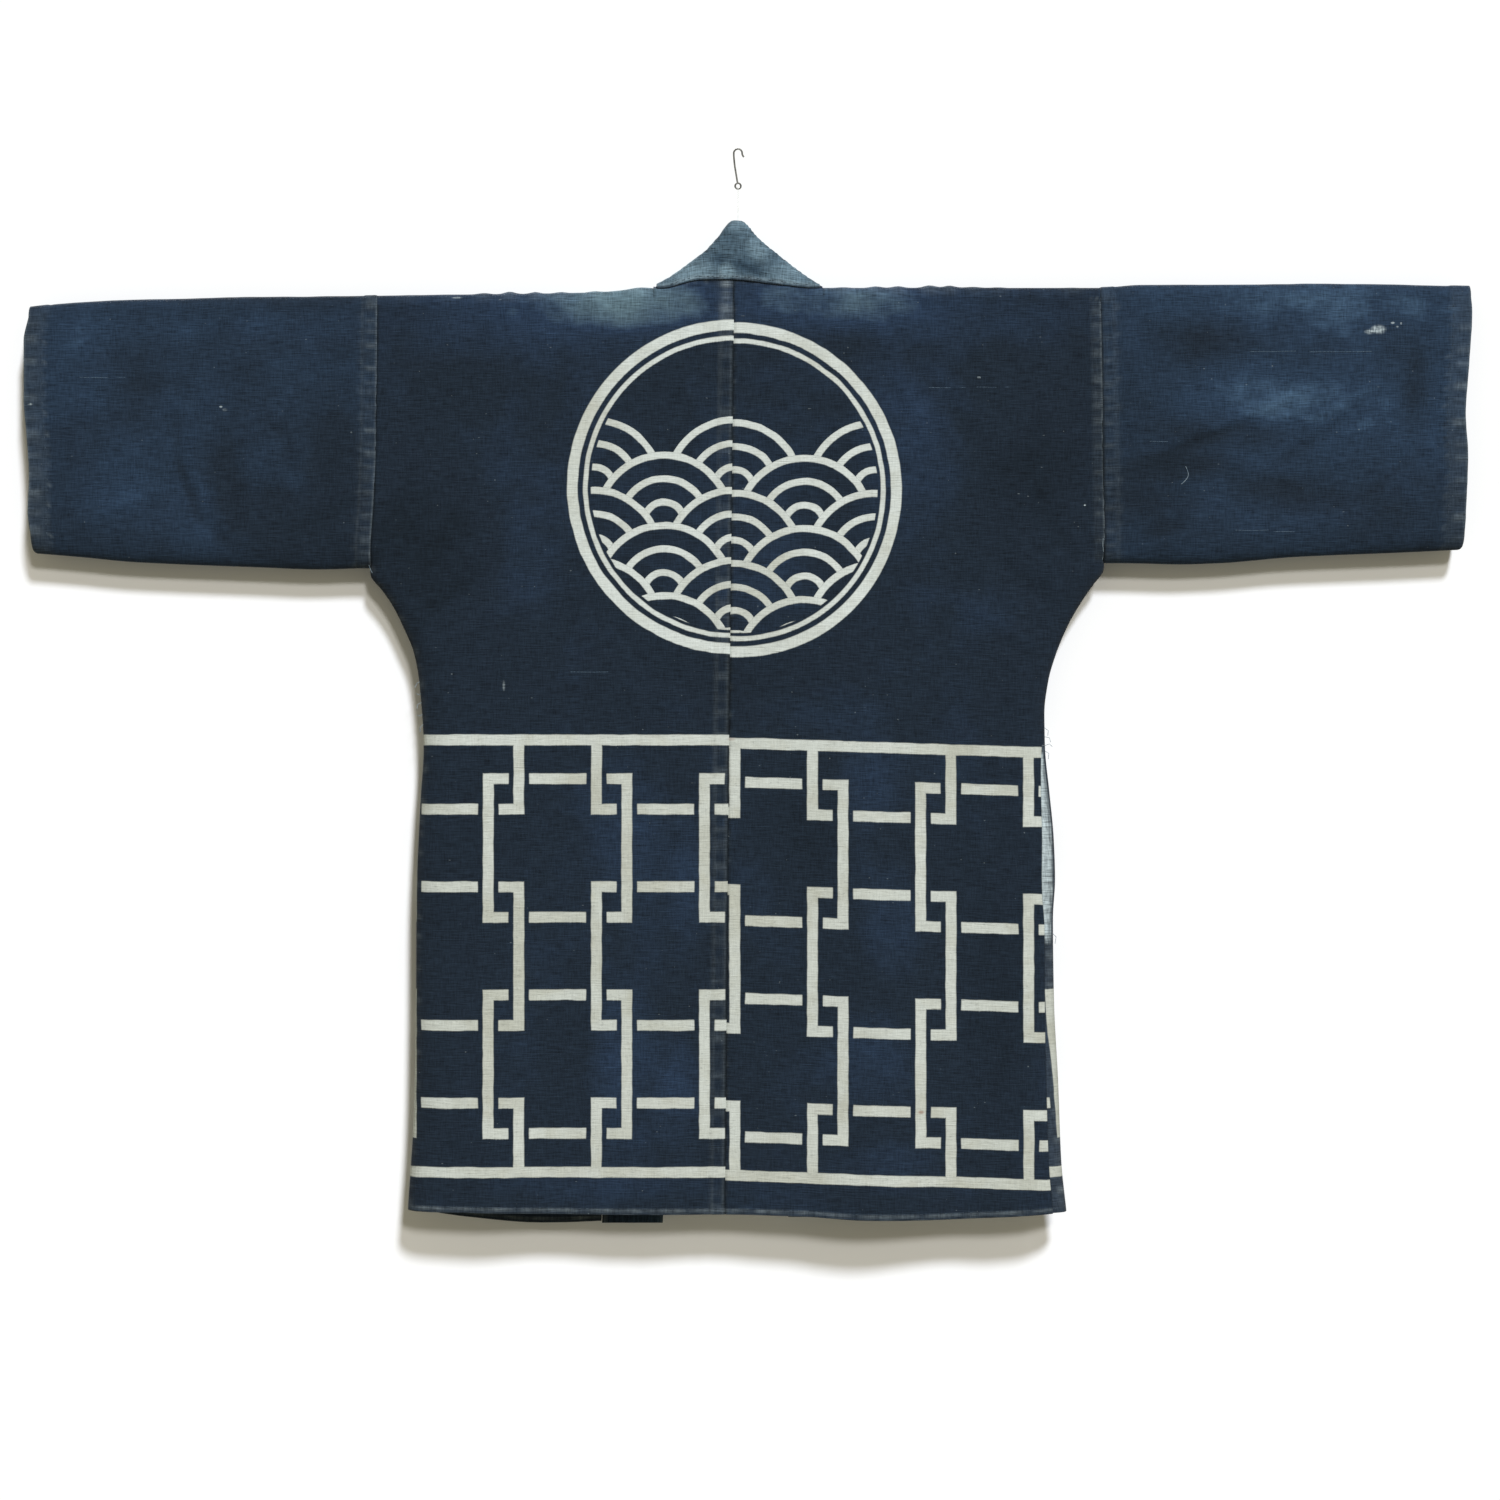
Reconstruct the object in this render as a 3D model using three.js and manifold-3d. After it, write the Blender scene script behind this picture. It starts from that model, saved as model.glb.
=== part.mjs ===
// A hanten, the short indigo work coat, hung flat on a rod that runs through both sleeves.
// Millimetres, +Z up. The origin is where the wire hook bears on its nail.
// The coat's back faces -Y, its fronts face +Y, and +X is to the right of somebody looking at its back.
import * as THREE from "three";
import { mergeVertices } from "three/addons/utils/BufferGeometryUtils.js";
import Module from "manifold-3d";

const wasm = await Module();
wasm.setup();

// Driving sizes
const CLOTH = 1.4; // one layer of heavy cotton
const HEM_CLOTH = 2.6; // where a hem or a seam allowance doubles it
const COLLAR_CLOTH = 3.4; // the collar's four layers
const SEAM_GAP = 0.4; // left between two pieces that are sewn together
const ROD_RADIUS = 9;
const ROD_CLEARANCE = 0.4;
const COLLAR_WIDTH = 51.5;
const CLOSING = 28; // over this width the back and the front come together at a seam
const UNDERARM_Z = -376;
const HEM_Z = -956; // nominal hem
const WRAP_TOP_Z = -538; // below this the right side seam sits on the back face
const HANG_FLARE = 5; // the back stands this much further out at the hem than at the rod
const ROD_DEPTH = ROD_RADIUS + ROD_CLEARANCE + CLOTH / 2; // mid-cloth to the rod's axis
const COLLAR_DEPTH = ROD_RADIUS + ROD_CLEARANCE + COLLAR_CLOTH / 2;

// A smooth function through the rows of a table, with no overshoot between rows.
function through(rows, from, to) {
  const xs = rows.map((row) => row[from]);
  const ys = rows.map((row) => row[to]);
  const slope = xs.slice(1).map((x, i) => (ys[i + 1] - ys[i]) / (x - xs[i]));
  const tangent = xs.map((_, i) => {
    const before = slope[Math.max(i - 1, 0)];
    const after = slope[Math.min(i, slope.length - 1)];
    return before * after <= 0 ? 0 : (2 * before * after) / (before + after);
  });
  return (x) => {
    if (x <= xs[0]) return ys[0];
    if (x >= xs.at(-1)) return ys.at(-1);
    const i = xs.findIndex((_, k) => x < xs[k + 1]);
    const width = xs[i + 1] - xs[i];
    const t = (x - xs[i]) / width;
    const s = t * t * (3 - 2 * t);
    const bend = t * (1 - t) * ((1 - t) * tangent[i] - t * tangent[i + 1]);
    return ys[i] + (ys[i + 1] - ys[i]) * s + bend * width;
  };
}

const mix = (a, b, t) => a + (b - a) * t;
const clamp01 = (t) => Math.min(Math.max(t, 0), 1);
const ease = (t) => clamp01(t) ** 2 * (3 - 2 * clamp01(t));

// Outlines. The tops of the shoulders and sleeves, left to right.
const topOf = through(
  [
    { x: -637, z: -141.5 },
    { x: -592, z: -137.2 },
    { x: -519, z: -134.2 },
    { x: -324, z: -131.2 },
    { x: -129, z: -128 },
    { x: -76, z: -124.3 },
    { x: 76, z: -124.1 },
    { x: 326, z: -124 },
    { x: 360, z: -121.6 },
    { x: 549, z: -120.8 },
    { x: 657, z: -123 },
  ],
  "x",
  "z",
);

// The height of the axis that the cloth bends over.
const axisOf = (x) => topOf(x) - ROD_DEPTH - CLOTH / 2;

// The rod is slightly bowed: both ends droop.
const rodAxisOf = through(
  [
    { x: -600, z: -151 },
    { x: -324, z: -142.8 },
    { x: -129, z: -139.4 },
    { x: 0, z: -136.6 },
    { x: 326, z: -135.6 },
    { x: 620, z: -135.8 },
  ],
  "x",
  "z",
);

// The left edge of the body, from the shoulder down: armhole seam, then side seam.
const leftEdge = through(
  [
    { z: -953, x: -297 },
    { z: -854, x: -291.2 },
    { z: -764, x: -289.8 },
    { z: -674, x: -289.4 },
    { z: -584, x: -285.8 },
    { z: -535, x: -283 },
    { z: -476, x: -286.8 },
    { z: -449, x: -291.6 },
    { z: -427, x: -300.6 },
    { z: -405, x: -311.4 },
    { z: -391, x: -321 },
    { z: -377, x: -331 },
    { z: -364, x: -330.8 },
    { z: -315, x: -327.8 },
    { z: -266, x: -325.8 },
    { z: -123, x: -324.5 },
  ],
  "z",
  "x",
);

// The right edge of the body: below WRAP_TOP_Z it is the fold of the front cloth.
const rightEdge = through(
  [
    { z: -955, x: 295.5 },
    { z: -911, x: 291 },
    { z: -836, x: 288 },
    { z: -764, x: 284.4 },
    { z: -692, x: 283.5 },
    { z: -656, x: 285.4 },
    { z: -620, x: 284.2 },
    { z: -575, x: 280 },
    { z: -538, x: 276.4 },
    { z: -506, x: 275.8 },
    { z: -478, x: 279.2 },
    { z: -457, x: 285 },
    { z: -430, x: 296 },
    { z: -405, x: 310.2 },
    { z: -391, x: 320 },
    { z: -377, x: 329.4 },
    { z: -364, x: 329.7 },
    { z: -315, x: 329 },
    { z: -266, x: 328.3 },
    { z: -123, x: 325.8 },
  ],
  "z",
  "x",
);

// How far the right side seam lies in from that fold, round on the back face.
const wrapWidth = through(
  [
    { z: -955, width: 12.6 },
    { z: -911, width: 11.8 },
    { z: -836, width: 11.2 },
    { z: -764, width: 8.6 },
    { z: -700, width: 8 },
    { z: -656, width: 12.5 },
    { z: -620, width: 11 },
    { z: -575, width: 7.6 },
    { z: -538, width: 3 },
  ],
  "z",
  "width",
);

// The centre back seam leans a little.
const centreSeam = through(
  [
    { z: -956, x: -12 },
    { z: -600, x: -9 },
    { z: -115, x: -3.6 },
  ],
  "z",
  "x",
);

// Where each front is sewn to the collar.
const leftFrontSeam = through(
  [
    { z: -968, x: -124 },
    { z: -600, x: -106 },
    { z: -260, x: -87 },
    { z: -124, x: -76 },
  ],
  "z",
  "x",
);
const rightFrontSeam = through(
  [
    { z: -968, x: 101 },
    { z: -600, x: 90 },
    { z: -260, x: 80 },
    { z: -124, x: 76 },
  ],
  "z",
  "x",
);

const backHem = through(
  [
    { x: -297, z: -953.2 },
    { x: -240, z: -954.2 },
    { x: -127, z: -956 },
    { x: -12, z: -956 },
    { x: 60, z: -957.5 },
    { x: 113, z: -960.5 },
    { x: 160, z: -960.8 },
    { x: 241, z: -958 },
    { x: 296, z: -954.4 },
  ],
  "x",
  "z",
);
const frontHem = through(
  [
    { x: -297, z: -953.4 },
    { x: -245, z: -962 },
    { x: -185, z: -967 },
    { x: -124, z: -965.5 },
    { x: 101, z: -960 },
    { x: 200, z: -962.5 },
    { x: 296, z: -954.6 },
  ],
  "x",
  "z",
);

// The seam between the back and the collar, and the ridge where the collar turns over.
const neckline = through(
  [
    { x: -76, z: -124.3 },
    { x: -66, z: -121 },
    { x: -50, z: -117.4 },
    { x: -32, z: -114.6 },
    { x: 0, z: -115 },
    { x: 21, z: -117 },
    { x: 38, z: -119.6 },
    { x: 58, z: -122.2 },
    { x: 76, z: -124.1 },
  ],
  "x",
  "z",
);
const ridgeRows = [
  { x: -76, z: -123.4 },
  { x: -68, z: -119.4 },
  { x: -58, z: -113.6 },
  { x: -47, z: -105.6 },
  { x: -40, z: -100.4 },
  { x: -34, z: -96 },
  { x: -28, z: -91.2 },
  { x: -21, z: -83.6 },
  { x: -15, z: -76.4 },
  { x: -9, z: -68.4 },
  { x: -1, z: -62.5 },
  { x: 8, z: -68.6 },
  { x: 14, z: -76.4 },
  { x: 20, z: -82.6 },
  { x: 27, z: -88.4 },
  { x: 36, z: -95.6 },
  { x: 45, z: -103 },
  { x: 54, z: -109.8 },
  { x: 62, z: -115.6 },
  { x: 70, z: -120.6 },
  { x: 76, z: -123.2 },
];
const ridge = through(ridgeRows, "x", "z");

// Folds. How far the lower body waves out at the hem, back and front.
const backFolds = through(
  [
    { x: -297, out: 0 },
    { x: -225, out: 2.5 },
    { x: -150, out: -2.5 },
    { x: -75, out: 1.5 },
    { x: -12, out: -1.5 },
    { x: 55, out: 1.5 },
    { x: 120, out: 7 },
    { x: 205, out: -1.5 },
    { x: 250, out: 1 },
    { x: 296, out: 0 },
  ],
  "x",
  "out",
);
const frontFolds = through(
  [
    { x: -297, out: 0 },
    { x: -215, out: 4.5 },
    { x: -150, out: -1 },
    { x: -110, out: 2.5 },
    { x: 85, out: 1 },
    { x: 150, out: 4 },
    { x: 215, out: -1 },
    { x: 255, out: 2 },
    { x: 296, out: 0 },
  ],
  "x",
  "out",
);

// The columns of each half, named by where they cross the shoulder, with the lift of each small gather there.
const LEFT_SHOULDER = [
  { x: -76, lift: 0 },
  { x: -89, lift: 1.4 },
  { x: -111, lift: 0 },
  { x: -129, lift: 2.2 },
  { x: -145, lift: 0 },
  { x: -159, lift: 2.2 },
  { x: -172, lift: 0 },
  { x: -182, lift: 2.6 },
  { x: -194, lift: 0 },
  { x: -205, lift: 3.2 },
  { x: -218, lift: 0 },
  { x: -228, lift: 1.6 },
  { x: -252, lift: 0 },
  { x: -288, lift: 0 },
  { x: -311, lift: 0 },
  { x: -321, lift: 0 },
  { x: -324.5, lift: 0 },
];
const RIGHT_SHOULDER = [
  { x: 76, lift: 0 },
  { x: 94, lift: 1.2 },
  { x: 107, lift: 0 },
  { x: 124, lift: 1.7 },
  { x: 134, lift: 0 },
  { x: 144, lift: 2.2 },
  { x: 156, lift: 0 },
  { x: 172, lift: 3 },
  { x: 181, lift: 0 },
  { x: 190, lift: 2.2 },
  { x: 201, lift: 0 },
  { x: 235, lift: 0.7 },
  { x: 270, lift: 0.4 },
  { x: 300, lift: 0.8 },
  { x: 314, lift: 0.6 },
  { x: 322, lift: 0 },
  { x: 325.8, lift: 0 },
];

// The stations across the back neck on one side of the centre seam, where the collar is sewn on.
const NECK_X = 76;
const neckStations = (side) =>
  ridgeRows.map((row) => row.x).filter((x) => side * x > 2 && Math.abs(x) < NECK_X);
const WRAP_SHARES = [0.1, 0.35, 1];
const OVER_STEPS = 6; // rows over the rod, from the back to the front
const GATHER_FADE = 16; // a shoulder gather dies out over this drop

// Heights of the rows of cloth between the hem and the rod, the same on the back and the front.
const ROW_HEIGHTS = [
  -956, -948, -944, -905, -836, -764, -692, -656, -620, -575, -538, -506, -478, -455,
  -430, -408, -391, -376, -330, -260, -190, -152, -134.4,
];
const rowShare = (z) => (z - HEM_Z) / (ROW_HEIGHTS.at(-1) - HEM_Z);

// How far the cloth stands from the middle plane, a distance d in from the edge where it closes.
function closing(d) {
  const left = 1 - clamp01(d / CLOSING);
  return Math.sqrt(1 - left * left);
}
const drop = (z) => ease((axisOf(0) - z) / (axisOf(0) - HEM_Z));
const foldFade = (z) => ease((-320 - z) / (-320 - HEM_Z));

function backDepth(x, z, d) {
  const hang = ROD_DEPTH + HANG_FLARE * drop(z) + backFolds(x) * foldFade(z);
  return -hang * closing(d);
}
function frontDepth(x, z, d) {
  const hang = ROD_DEPTH + 0.5 * HANG_FLARE * drop(z) + frontFolds(x) * foldFade(z);
  return hang * closing(d);
}

// Distance in from the closed edge: below the underarm the side seam, above it the underarm point.
function fromEdge(x, z, edgeX) {
  const across = Math.abs(edgeX) - Math.abs(x);
  return z >= UNDERARM_Z ? Math.hypot(across, z - UNDERARM_Z) : across;
}

// A closed wall round a grid of mid-cloth points. A null is no cloth, and thicknessAt gives the wall there.
function wall(grid, thicknessAt, closedRing = false) {
  const rowCount = grid.length;
  const columnCount = grid[0].length;
  const rowSpan = closedRing ? rowCount : rowCount - 1;
  const at = (i, j) => (j < 0 || j >= columnCount ? null : grid[(i + rowCount) % rowCount][j]);
  const isCloth = (i, j) =>
    (closedRing || (i >= 0 && i < rowSpan)) &&
    Boolean(at(i, j) && at(i + 1, j) && at(i, j + 1) && at(i + 1, j + 1));
  const normals = grid.map((row) => row.map(() => new THREE.Vector3()));
  for (let i = 0; i < rowSpan; i++)
    for (let j = 0; j < columnCount - 1; j++) {
      if (!isCloth(i, j)) continue;
      const along = new THREE.Vector3().subVectors(at(i + 1, j + 1), at(i, j));
      const across = new THREE.Vector3().subVectors(at(i, j + 1), at(i + 1, j));
      const normal = along.cross(across).normalize();
      for (const [a, b] of [[i, j], [i + 1, j], [i, j + 1], [i + 1, j + 1]])
        normals[a % rowCount][b].add(normal);
    }
  const positions = [];
  const index = [];
  const outer = new Map();
  const vertex = (i, j, side) => {
    const key = `${i % rowCount},${j},${side}`;
    if (!outer.has(key)) {
      const normal = normals[i % rowCount][j].clone().normalize();
      const half = (side * thicknessAt(i % rowCount, j)) / 2;
      const point = at(i, j).clone().addScaledVector(normal, half);
      outer.set(key, positions.length / 3);
      positions.push(...point.toArray());
    }
    return outer.get(key);
  };
  const quad = (a, b, c, d) => index.push(a, b, c, a, c, d);
  for (let i = 0; i < rowSpan; i++)
    for (let j = 0; j < columnCount - 1; j++) {
      if (!isCloth(i, j)) continue;
      const corners = [[i, j], [i + 1, j], [i + 1, j + 1], [i, j + 1]];
      const [p0, p1, p2, p3] = corners.map(([a, b]) => at(a, b));
      const split = p0.distanceTo(p2) <= p1.distanceTo(p3) ? corners : [...corners.slice(1), corners[0]];
      quad(...split.map(([a, b]) => vertex(a, b, -1)));
      quad(...[0, 3, 2, 1].map((k) => vertex(...split[k], 1)));
      const neighbours = [[i, j - 1], [i + 1, j], [i, j + 1], [i - 1, j]];
      neighbours.forEach(([a, b], k) => {
        const beyond = closedRing ? (a + rowCount) % rowCount : a;
        if (isCloth(beyond, b)) return;
        const [p, q] = [corners[k], corners[(k + 1) % 4]];
        quad(vertex(...p, 1), vertex(...q, 1), vertex(...q, -1), vertex(...p, -1));
      });
    }
  return facingOut(positions, index);
}

// A geometry from points and triangles, turned over if it came out inside out.
function facingOut(positions, index) {
  const point = (k) => new THREE.Vector3().fromArray(positions, 3 * k);
  let volume = 0;
  for (let k = 0; k < index.length; k += 3)
    volume += point(index[k]).dot(point(index[k + 1]).cross(point(index[k + 2])));
  const turned = volume < 0 ? index.toReversed() : index;
  const geometry = new THREE.BufferGeometry();
  geometry.setAttribute("position", new THREE.Float32BufferAttribute(positions, 3));
  geometry.setIndex(turned);
  return geometry;
}

// One half of the body: a single length of cloth, from the back hem over the shoulder to the front hem.
function bodyHalf(side) {
  const isRight = side > 0;
  const shoulder = isRight ? RIGHT_SHOULDER : LEFT_SHOULDER;
  const edge = isRight ? rightEdge : leftEdge;
  const frontSeam = isRight ? rightFrontSeam : leftFrontSeam;
  const neckX = shoulder[0].x;
  const shoulderX = shoulder.at(-1).x;
  const wrapColumns = isRight ? WRAP_SHARES.length : 0;
  const wrapped = (z) => isRight && z <= WRAP_TOP_Z;
  const inset = (side * CLOTH) / 2; // the outline is the outer face's, the grid is mid-cloth
  const edgeAt = (z) => edge(z) - inset;

  const centreAt = (z) => centreSeam(z) + (side * SEAM_GAP) / 2;
  const backShare = (x) => (x - centreAt(0)) / (shoulderX - centreAt(0));
  const inward = (stations) => stations.toSorted((a, b) => Math.abs(a) - Math.abs(b));
  const shareOf = (column) => (column.x - neckX) / (shoulderX - neckX);
  const columns = [
    ...[centreAt(0), ...inward(neckStations(side))].map((x) => ({ x, lift: 0, neck: true })),
    ...shoulder,
  ];

  const gather = (column, x, z) => column.lift * Math.exp(-Math.max(axisOf(x) - z, 0) / GATHER_FADE);

  function backPoint(column, zRow) {
    const seamX = edgeAt(zRow) - (wrapped(zRow) ? wrapWidth(zRow) + SEAM_GAP : 0);
    const x = mix(centreAt(zRow), seamX, backShare(column.x));
    const z = mix(backHem(x), axisOf(x), rowShare(zRow));
    const d = fromEdge(x, zRow, edgeAt(zRow));
    const y = Math.min(backDepth(x, z, d), -SEAM_GAP / 2) - gather(column, x, z);
    return new THREE.Vector3(x, y, z);
  }
  function frontPoint(column, zRow) {
    const x = mix(frontSeam(zRow), edgeAt(zRow), shareOf(column));
    const z = mix(frontHem(x), axisOf(x), rowShare(zRow));
    const least = wrapped(zRow) ? 0 : SEAM_GAP / 2;
    const y = Math.max(frontDepth(x, z, fromEdge(x, zRow, edgeAt(zRow))), least);
    return new THREE.Vector3(x, y + gather(column, x, z), z);
  }
  function wrapPoint(share, zRow) {
    if (!wrapped(zRow)) return null;
    const inward = share * wrapWidth(zRow);
    const x = edgeAt(zRow) - inward;
    const z = mix(frontHem(edgeAt(zRow)), axisOf(x), rowShare(zRow));
    return new THREE.Vector3(x, backDepth(x, z, inward), z);
  }
  function overPoint(column, step) {
    const fullTurn = Math.PI * (step / OVER_STEPS);
    if (!column.neck) {
      const x = mix(neckX, edgeAt(ROW_HEIGHTS.at(-1)), shareOf(column));
      const radius = ROD_DEPTH + column.lift;
      const height = axisOf(x) + radius * Math.sin(fullTurn);
      return new THREE.Vector3(x, -radius * Math.cos(fullTurn), height);
    }
    const { x } = column;
    if (step > OVER_STEPS / 2) return null;
    const rise = ridge(x) - axisOf(x);
    const top = Math.asin((neckline(x) - axisOf(x)) / rise);
    const turn = top * (fullTurn / (Math.PI / 2));
    const y = -ROD_DEPTH * Math.cos(turn);
    return new THREE.Vector3(x, y, axisOf(x) + rise * Math.sin(turn));
  }

  const rows = [];
  const noWrap = Array(wrapColumns).fill(null);
  for (const z of ROW_HEIGHTS) rows.push([...columns.map((c) => backPoint(c, z)), ...noWrap]);
  for (let step = 1; step < OVER_STEPS; step++)
    rows.push([...columns.map((c) => overPoint(c, step)), ...noWrap]);
  for (const z of ROW_HEIGHTS.toReversed()) {
    const wrap = isRight ? WRAP_SHARES.map((share) => wrapPoint(share, z)) : [];
    rows.push([...columns.map((c) => (c.neck ? null : frontPoint(c, z))), ...wrap]);
  }
  const isHem = (i) => i < 2 || i > rows.length - 3;
  return wall(rows, (i) => (isHem(i) ? HEM_CLOTH : CLOTH));
}

// Sleeves: a tube of cloth that hangs over the rod and closes along its bottom seam.
const leftCuff = through(
  [
    { z: -362, x: -634 },
    { z: -340, x: -636.5 },
    { z: -304, x: -635.4 },
    { z: -266, x: -637.5 },
    { z: -225, x: -640.4 },
    { z: -165, x: -640.2 },
    { z: -142, x: -636 },
  ],
  "z",
  "x",
);
const rightCuff = through(
  [
    { z: -359, x: 651.5 },
    { z: -327, x: 653 },
    { z: -285, x: 654.4 },
    { z: -248, x: 652.4 },
    { z: -200, x: 655.4 },
    { z: -150, x: 658.2 },
    { z: -123, x: 656 },
  ],
  "z",
  "x",
);
const sleeveBottom = through(
  [
    { x: -634, z: -362.4 },
    { x: -592, z: -365.8 },
    { x: -543, z: -370.4 },
    { x: -423, z: -375.4 },
    { x: -353, z: -378 },
    { x: -331, z: -376.4 },
    { x: 330, z: -371 },
    { x: 346, z: -371.6 },
    { x: 392, z: -372.6 },
    { x: 433, z: -371.4 },
    { x: 501, z: -365.8 },
    { x: 597, z: -361.8 },
    { x: 652, z: -359.2 },
  ],
  "x",
  "z",
);
const SLEEVE_SHARES = [0, 0.13, 0.28, 0.43, 0.58, 0.73, 0.86, 0.93, 0.945, 1]; // armhole to cuff, the last one the cuff hem
const SLEEVE_ROWS = [0.012, 0.035, 0.08, 0.16, 0.3, 0.5, 0.72, 0.9, 1]; // bottom seam to the rod

// How far the sleeve's faces wave in and out between armhole and cuff.
const sleeveFolds = through(
  [
    { share: 0, out: 0 },
    { share: 0.25, out: 1.6 },
    { share: 0.5, out: -0.8 },
    { share: 0.75, out: 1.4 },
    { share: 1, out: 0.2 },
  ],
  "share",
  "out",
);

function sleeve(side) {
  const edge = side > 0 ? rightEdge : leftEdge;
  const cuff = side > 0 ? rightCuff : leftCuff;
  const armholeAt = (z) => edge(z) + side * (SEAM_GAP - (CLOTH / 2) * closing(z - UNDERARM_Z));
  const ringPoint = (share, row, face) => {
    const zRow = mix(UNDERARM_Z, axisOf(side * 326), row);
    const x = mix(armholeAt(zRow), cuff(zRow), share);
    const atArmhole = Math.max(UNDERARM_Z, sleeveBottom(x));
    const bottom = mix(atArmhole, sleeveBottom(x), ease(share * 4));
    const z = mix(bottom, axisOf(x), row);
    const wave = sleeveFolds(share) * Math.sin(Math.PI * row);
    const depth = ROD_DEPTH + HANG_FLARE * drop(z) * (face < 0 ? 1 : 0.5) + wave;
    return new THREE.Vector3(x, face * depth * closing(z - bottom), z);
  };
  const rows = [];
  rows.push(SLEEVE_SHARES.map((share) => ringPoint(share, 0, -1)));
  for (const row of SLEEVE_ROWS) rows.push(SLEEVE_SHARES.map((share) => ringPoint(share, row, -1)));
  for (let step = 1; step < OVER_STEPS; step++) {
    const turn = Math.PI * (step / OVER_STEPS);
    rows.push(
      SLEEVE_SHARES.map((share) => {
        const x = mix(armholeAt(topOf(side * 326)), cuff(topOf(side * 640)), share);
        const z = axisOf(x) + ROD_DEPTH * Math.sin(turn);
        return new THREE.Vector3(x, -ROD_DEPTH * Math.cos(turn), z);
      }),
    );
  }
  for (const row of SLEEVE_ROWS.toReversed())
    rows.push(SLEEVE_SHARES.map((share) => ringPoint(share, row, 1)));
  const cuffColumn = SLEEVE_SHARES.length - 2;
  return wall(rows, (_, j) => (j >= cuffColumn ? HEM_CLOTH : CLOTH), true);
}

// The collar: one folded band. At the back neck it stands, turns over along the ridge on each side,
// and runs down the fronts behind.
const COLLAR_STEPS = 8; // points across the band
const MARCH = 0.5; // step used to walk across it
const NECK_SEAM_GAP = 0.7; // upright, because the cloth slopes there
const LINE_ROOM = 2.8; // at the centre the collar stays this far back, clear of the hanging line
const backSlope = through(
  [
    { x: 0, degrees: 20 },
    { x: 15, degrees: 2 },
    { x: 28, degrees: -9 },
    { x: 45, degrees: -16 },
    { x: 62, degrees: -21 },
    { x: 76, degrees: -23 },
  ],
  "x",
  "degrees",
);
const frontSlope = through(
  [
    { z: -430, degrees: 0 },
    { z: -260, degrees: -3 },
    { z: -190, degrees: -9 },
    { z: -152, degrees: -17 },
    { z: -124, degrees: -23 },
  ],
  "z",
  "degrees",
);

// Above the rod the collar makes a tent, with the ridge along its top: the half depth at x and z.
function tentDepth(x, z, depth) {
  const rise = Math.max(ridge(x) - axisOf(x), depth);
  const share = clamp01((z - axisOf(x)) / rise);
  return depth * Math.sqrt(1 - share * share);
}
function wallSideY(x, z) {
  const bare = frontDepth(x, z, CLOSING) - ROD_DEPTH;
  return tentDepth(x, z, COLLAR_DEPTH) + Math.max(bare, 0);
}

// Walks across the band from its seam: up the back face to the ridge, then over and along the wall side.
function collarSection(seamX, seamZ, onWallSide, degrees) {
  const side = Math.sign(seamX) || 1;
  const angle = THREE.MathUtils.degToRad(degrees);
  const points = [];
  let x = seamX;
  let z = seamZ;
  let over = onWallSide;
  let walked = 0;
  const backY = () => -Math.max(tentDepth(x, z, ROD_DEPTH), LINE_ROOM - Math.abs(x) / 4);
  const place = () => new THREE.Vector3(x, over ? wallSideY(x, z) : backY(), z);
  let last = place();
  let turn = null;
  points.push(last);
  while (points.length <= COLLAR_STEPS) {
    if (!over && z + MARCH >= ridge(x)) {
      over = true;
      turn = { point: new THREE.Vector3(x, 0, ridge(x)), step: (walked / COLLAR_WIDTH) * COLLAR_STEPS };
    }
    if (over) {
      x -= side * MARCH * Math.cos(angle);
      z += MARCH * Math.sin(angle);
    } else z += MARCH;
    const next = place();
    walked += last.distanceTo(next);
    last = next;
    if (walked >= (COLLAR_WIDTH * points.length) / COLLAR_STEPS) points.push(next);
  }
  if (turn) points[Math.max(Math.round(turn.step), 1)] = turn.point;
  return points;
}

function collarStations(side) {
  const frontSeam = side > 0 ? rightFrontSeam : leftFrontSeam;
  const stations = [];
  for (const x of neckStations(side)) {
    const seamZ = neckline(x) + NECK_SEAM_GAP;
    stations.push(collarSection(x, seamZ, false, backSlope(Math.abs(x))));
  }
  if (side < 0) stations.reverse();
  const neckX = side * (NECK_X - SEAM_GAP);
  for (const degrees of [90, 120, 150]) {
    const turn = THREE.MathUtils.degToRad(degrees);
    const seamZ = axisOf(neckX) + COLLAR_DEPTH * Math.sin(turn);
    stations.push(collarSection(neckX, seamZ, true, frontSlope(seamZ)));
  }
  for (const zRow of ROW_HEIGHTS.toReversed()) {
    const seamX = frontSeam(zRow) - side * SEAM_GAP;
    const seamZ = mix(frontHem(seamX) - 2, axisOf(seamX), rowShare(zRow));
    stations.push(collarSection(seamX, seamZ, true, frontSlope(seamZ)));
  }
  return stations;
}

function collar() {
  const centre = collarSection(-1, neckline(0) + NECK_SEAM_GAP, false, 20);
  const grid = [...collarStations(-1).toReversed(), centre, ...collarStations(1)];
  return wall(grid, (_, j) => (j === 0 || j === COLLAR_STEPS ? 0.7 : 1) * COLLAR_CLOTH);
}

// A round bar or wire along a curve.
function bar(curve, radius, sides, steps) {
  const section = new THREE.Shape();
  for (let k = 0; k < sides; k++) {
    const turn = (2 * Math.PI * k) / sides;
    section[k ? "lineTo" : "moveTo"](radius * Math.cos(turn), radius * Math.sin(turn));
  }
  section.closePath();
  return new THREE.ExtrudeGeometry(section, { steps, extrudePath: curve, bevelEnabled: false });
}
const curveThrough = (points) => new THREE.CatmullRomCurve3(points.map((p) => new THREE.Vector3(...p)));

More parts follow.
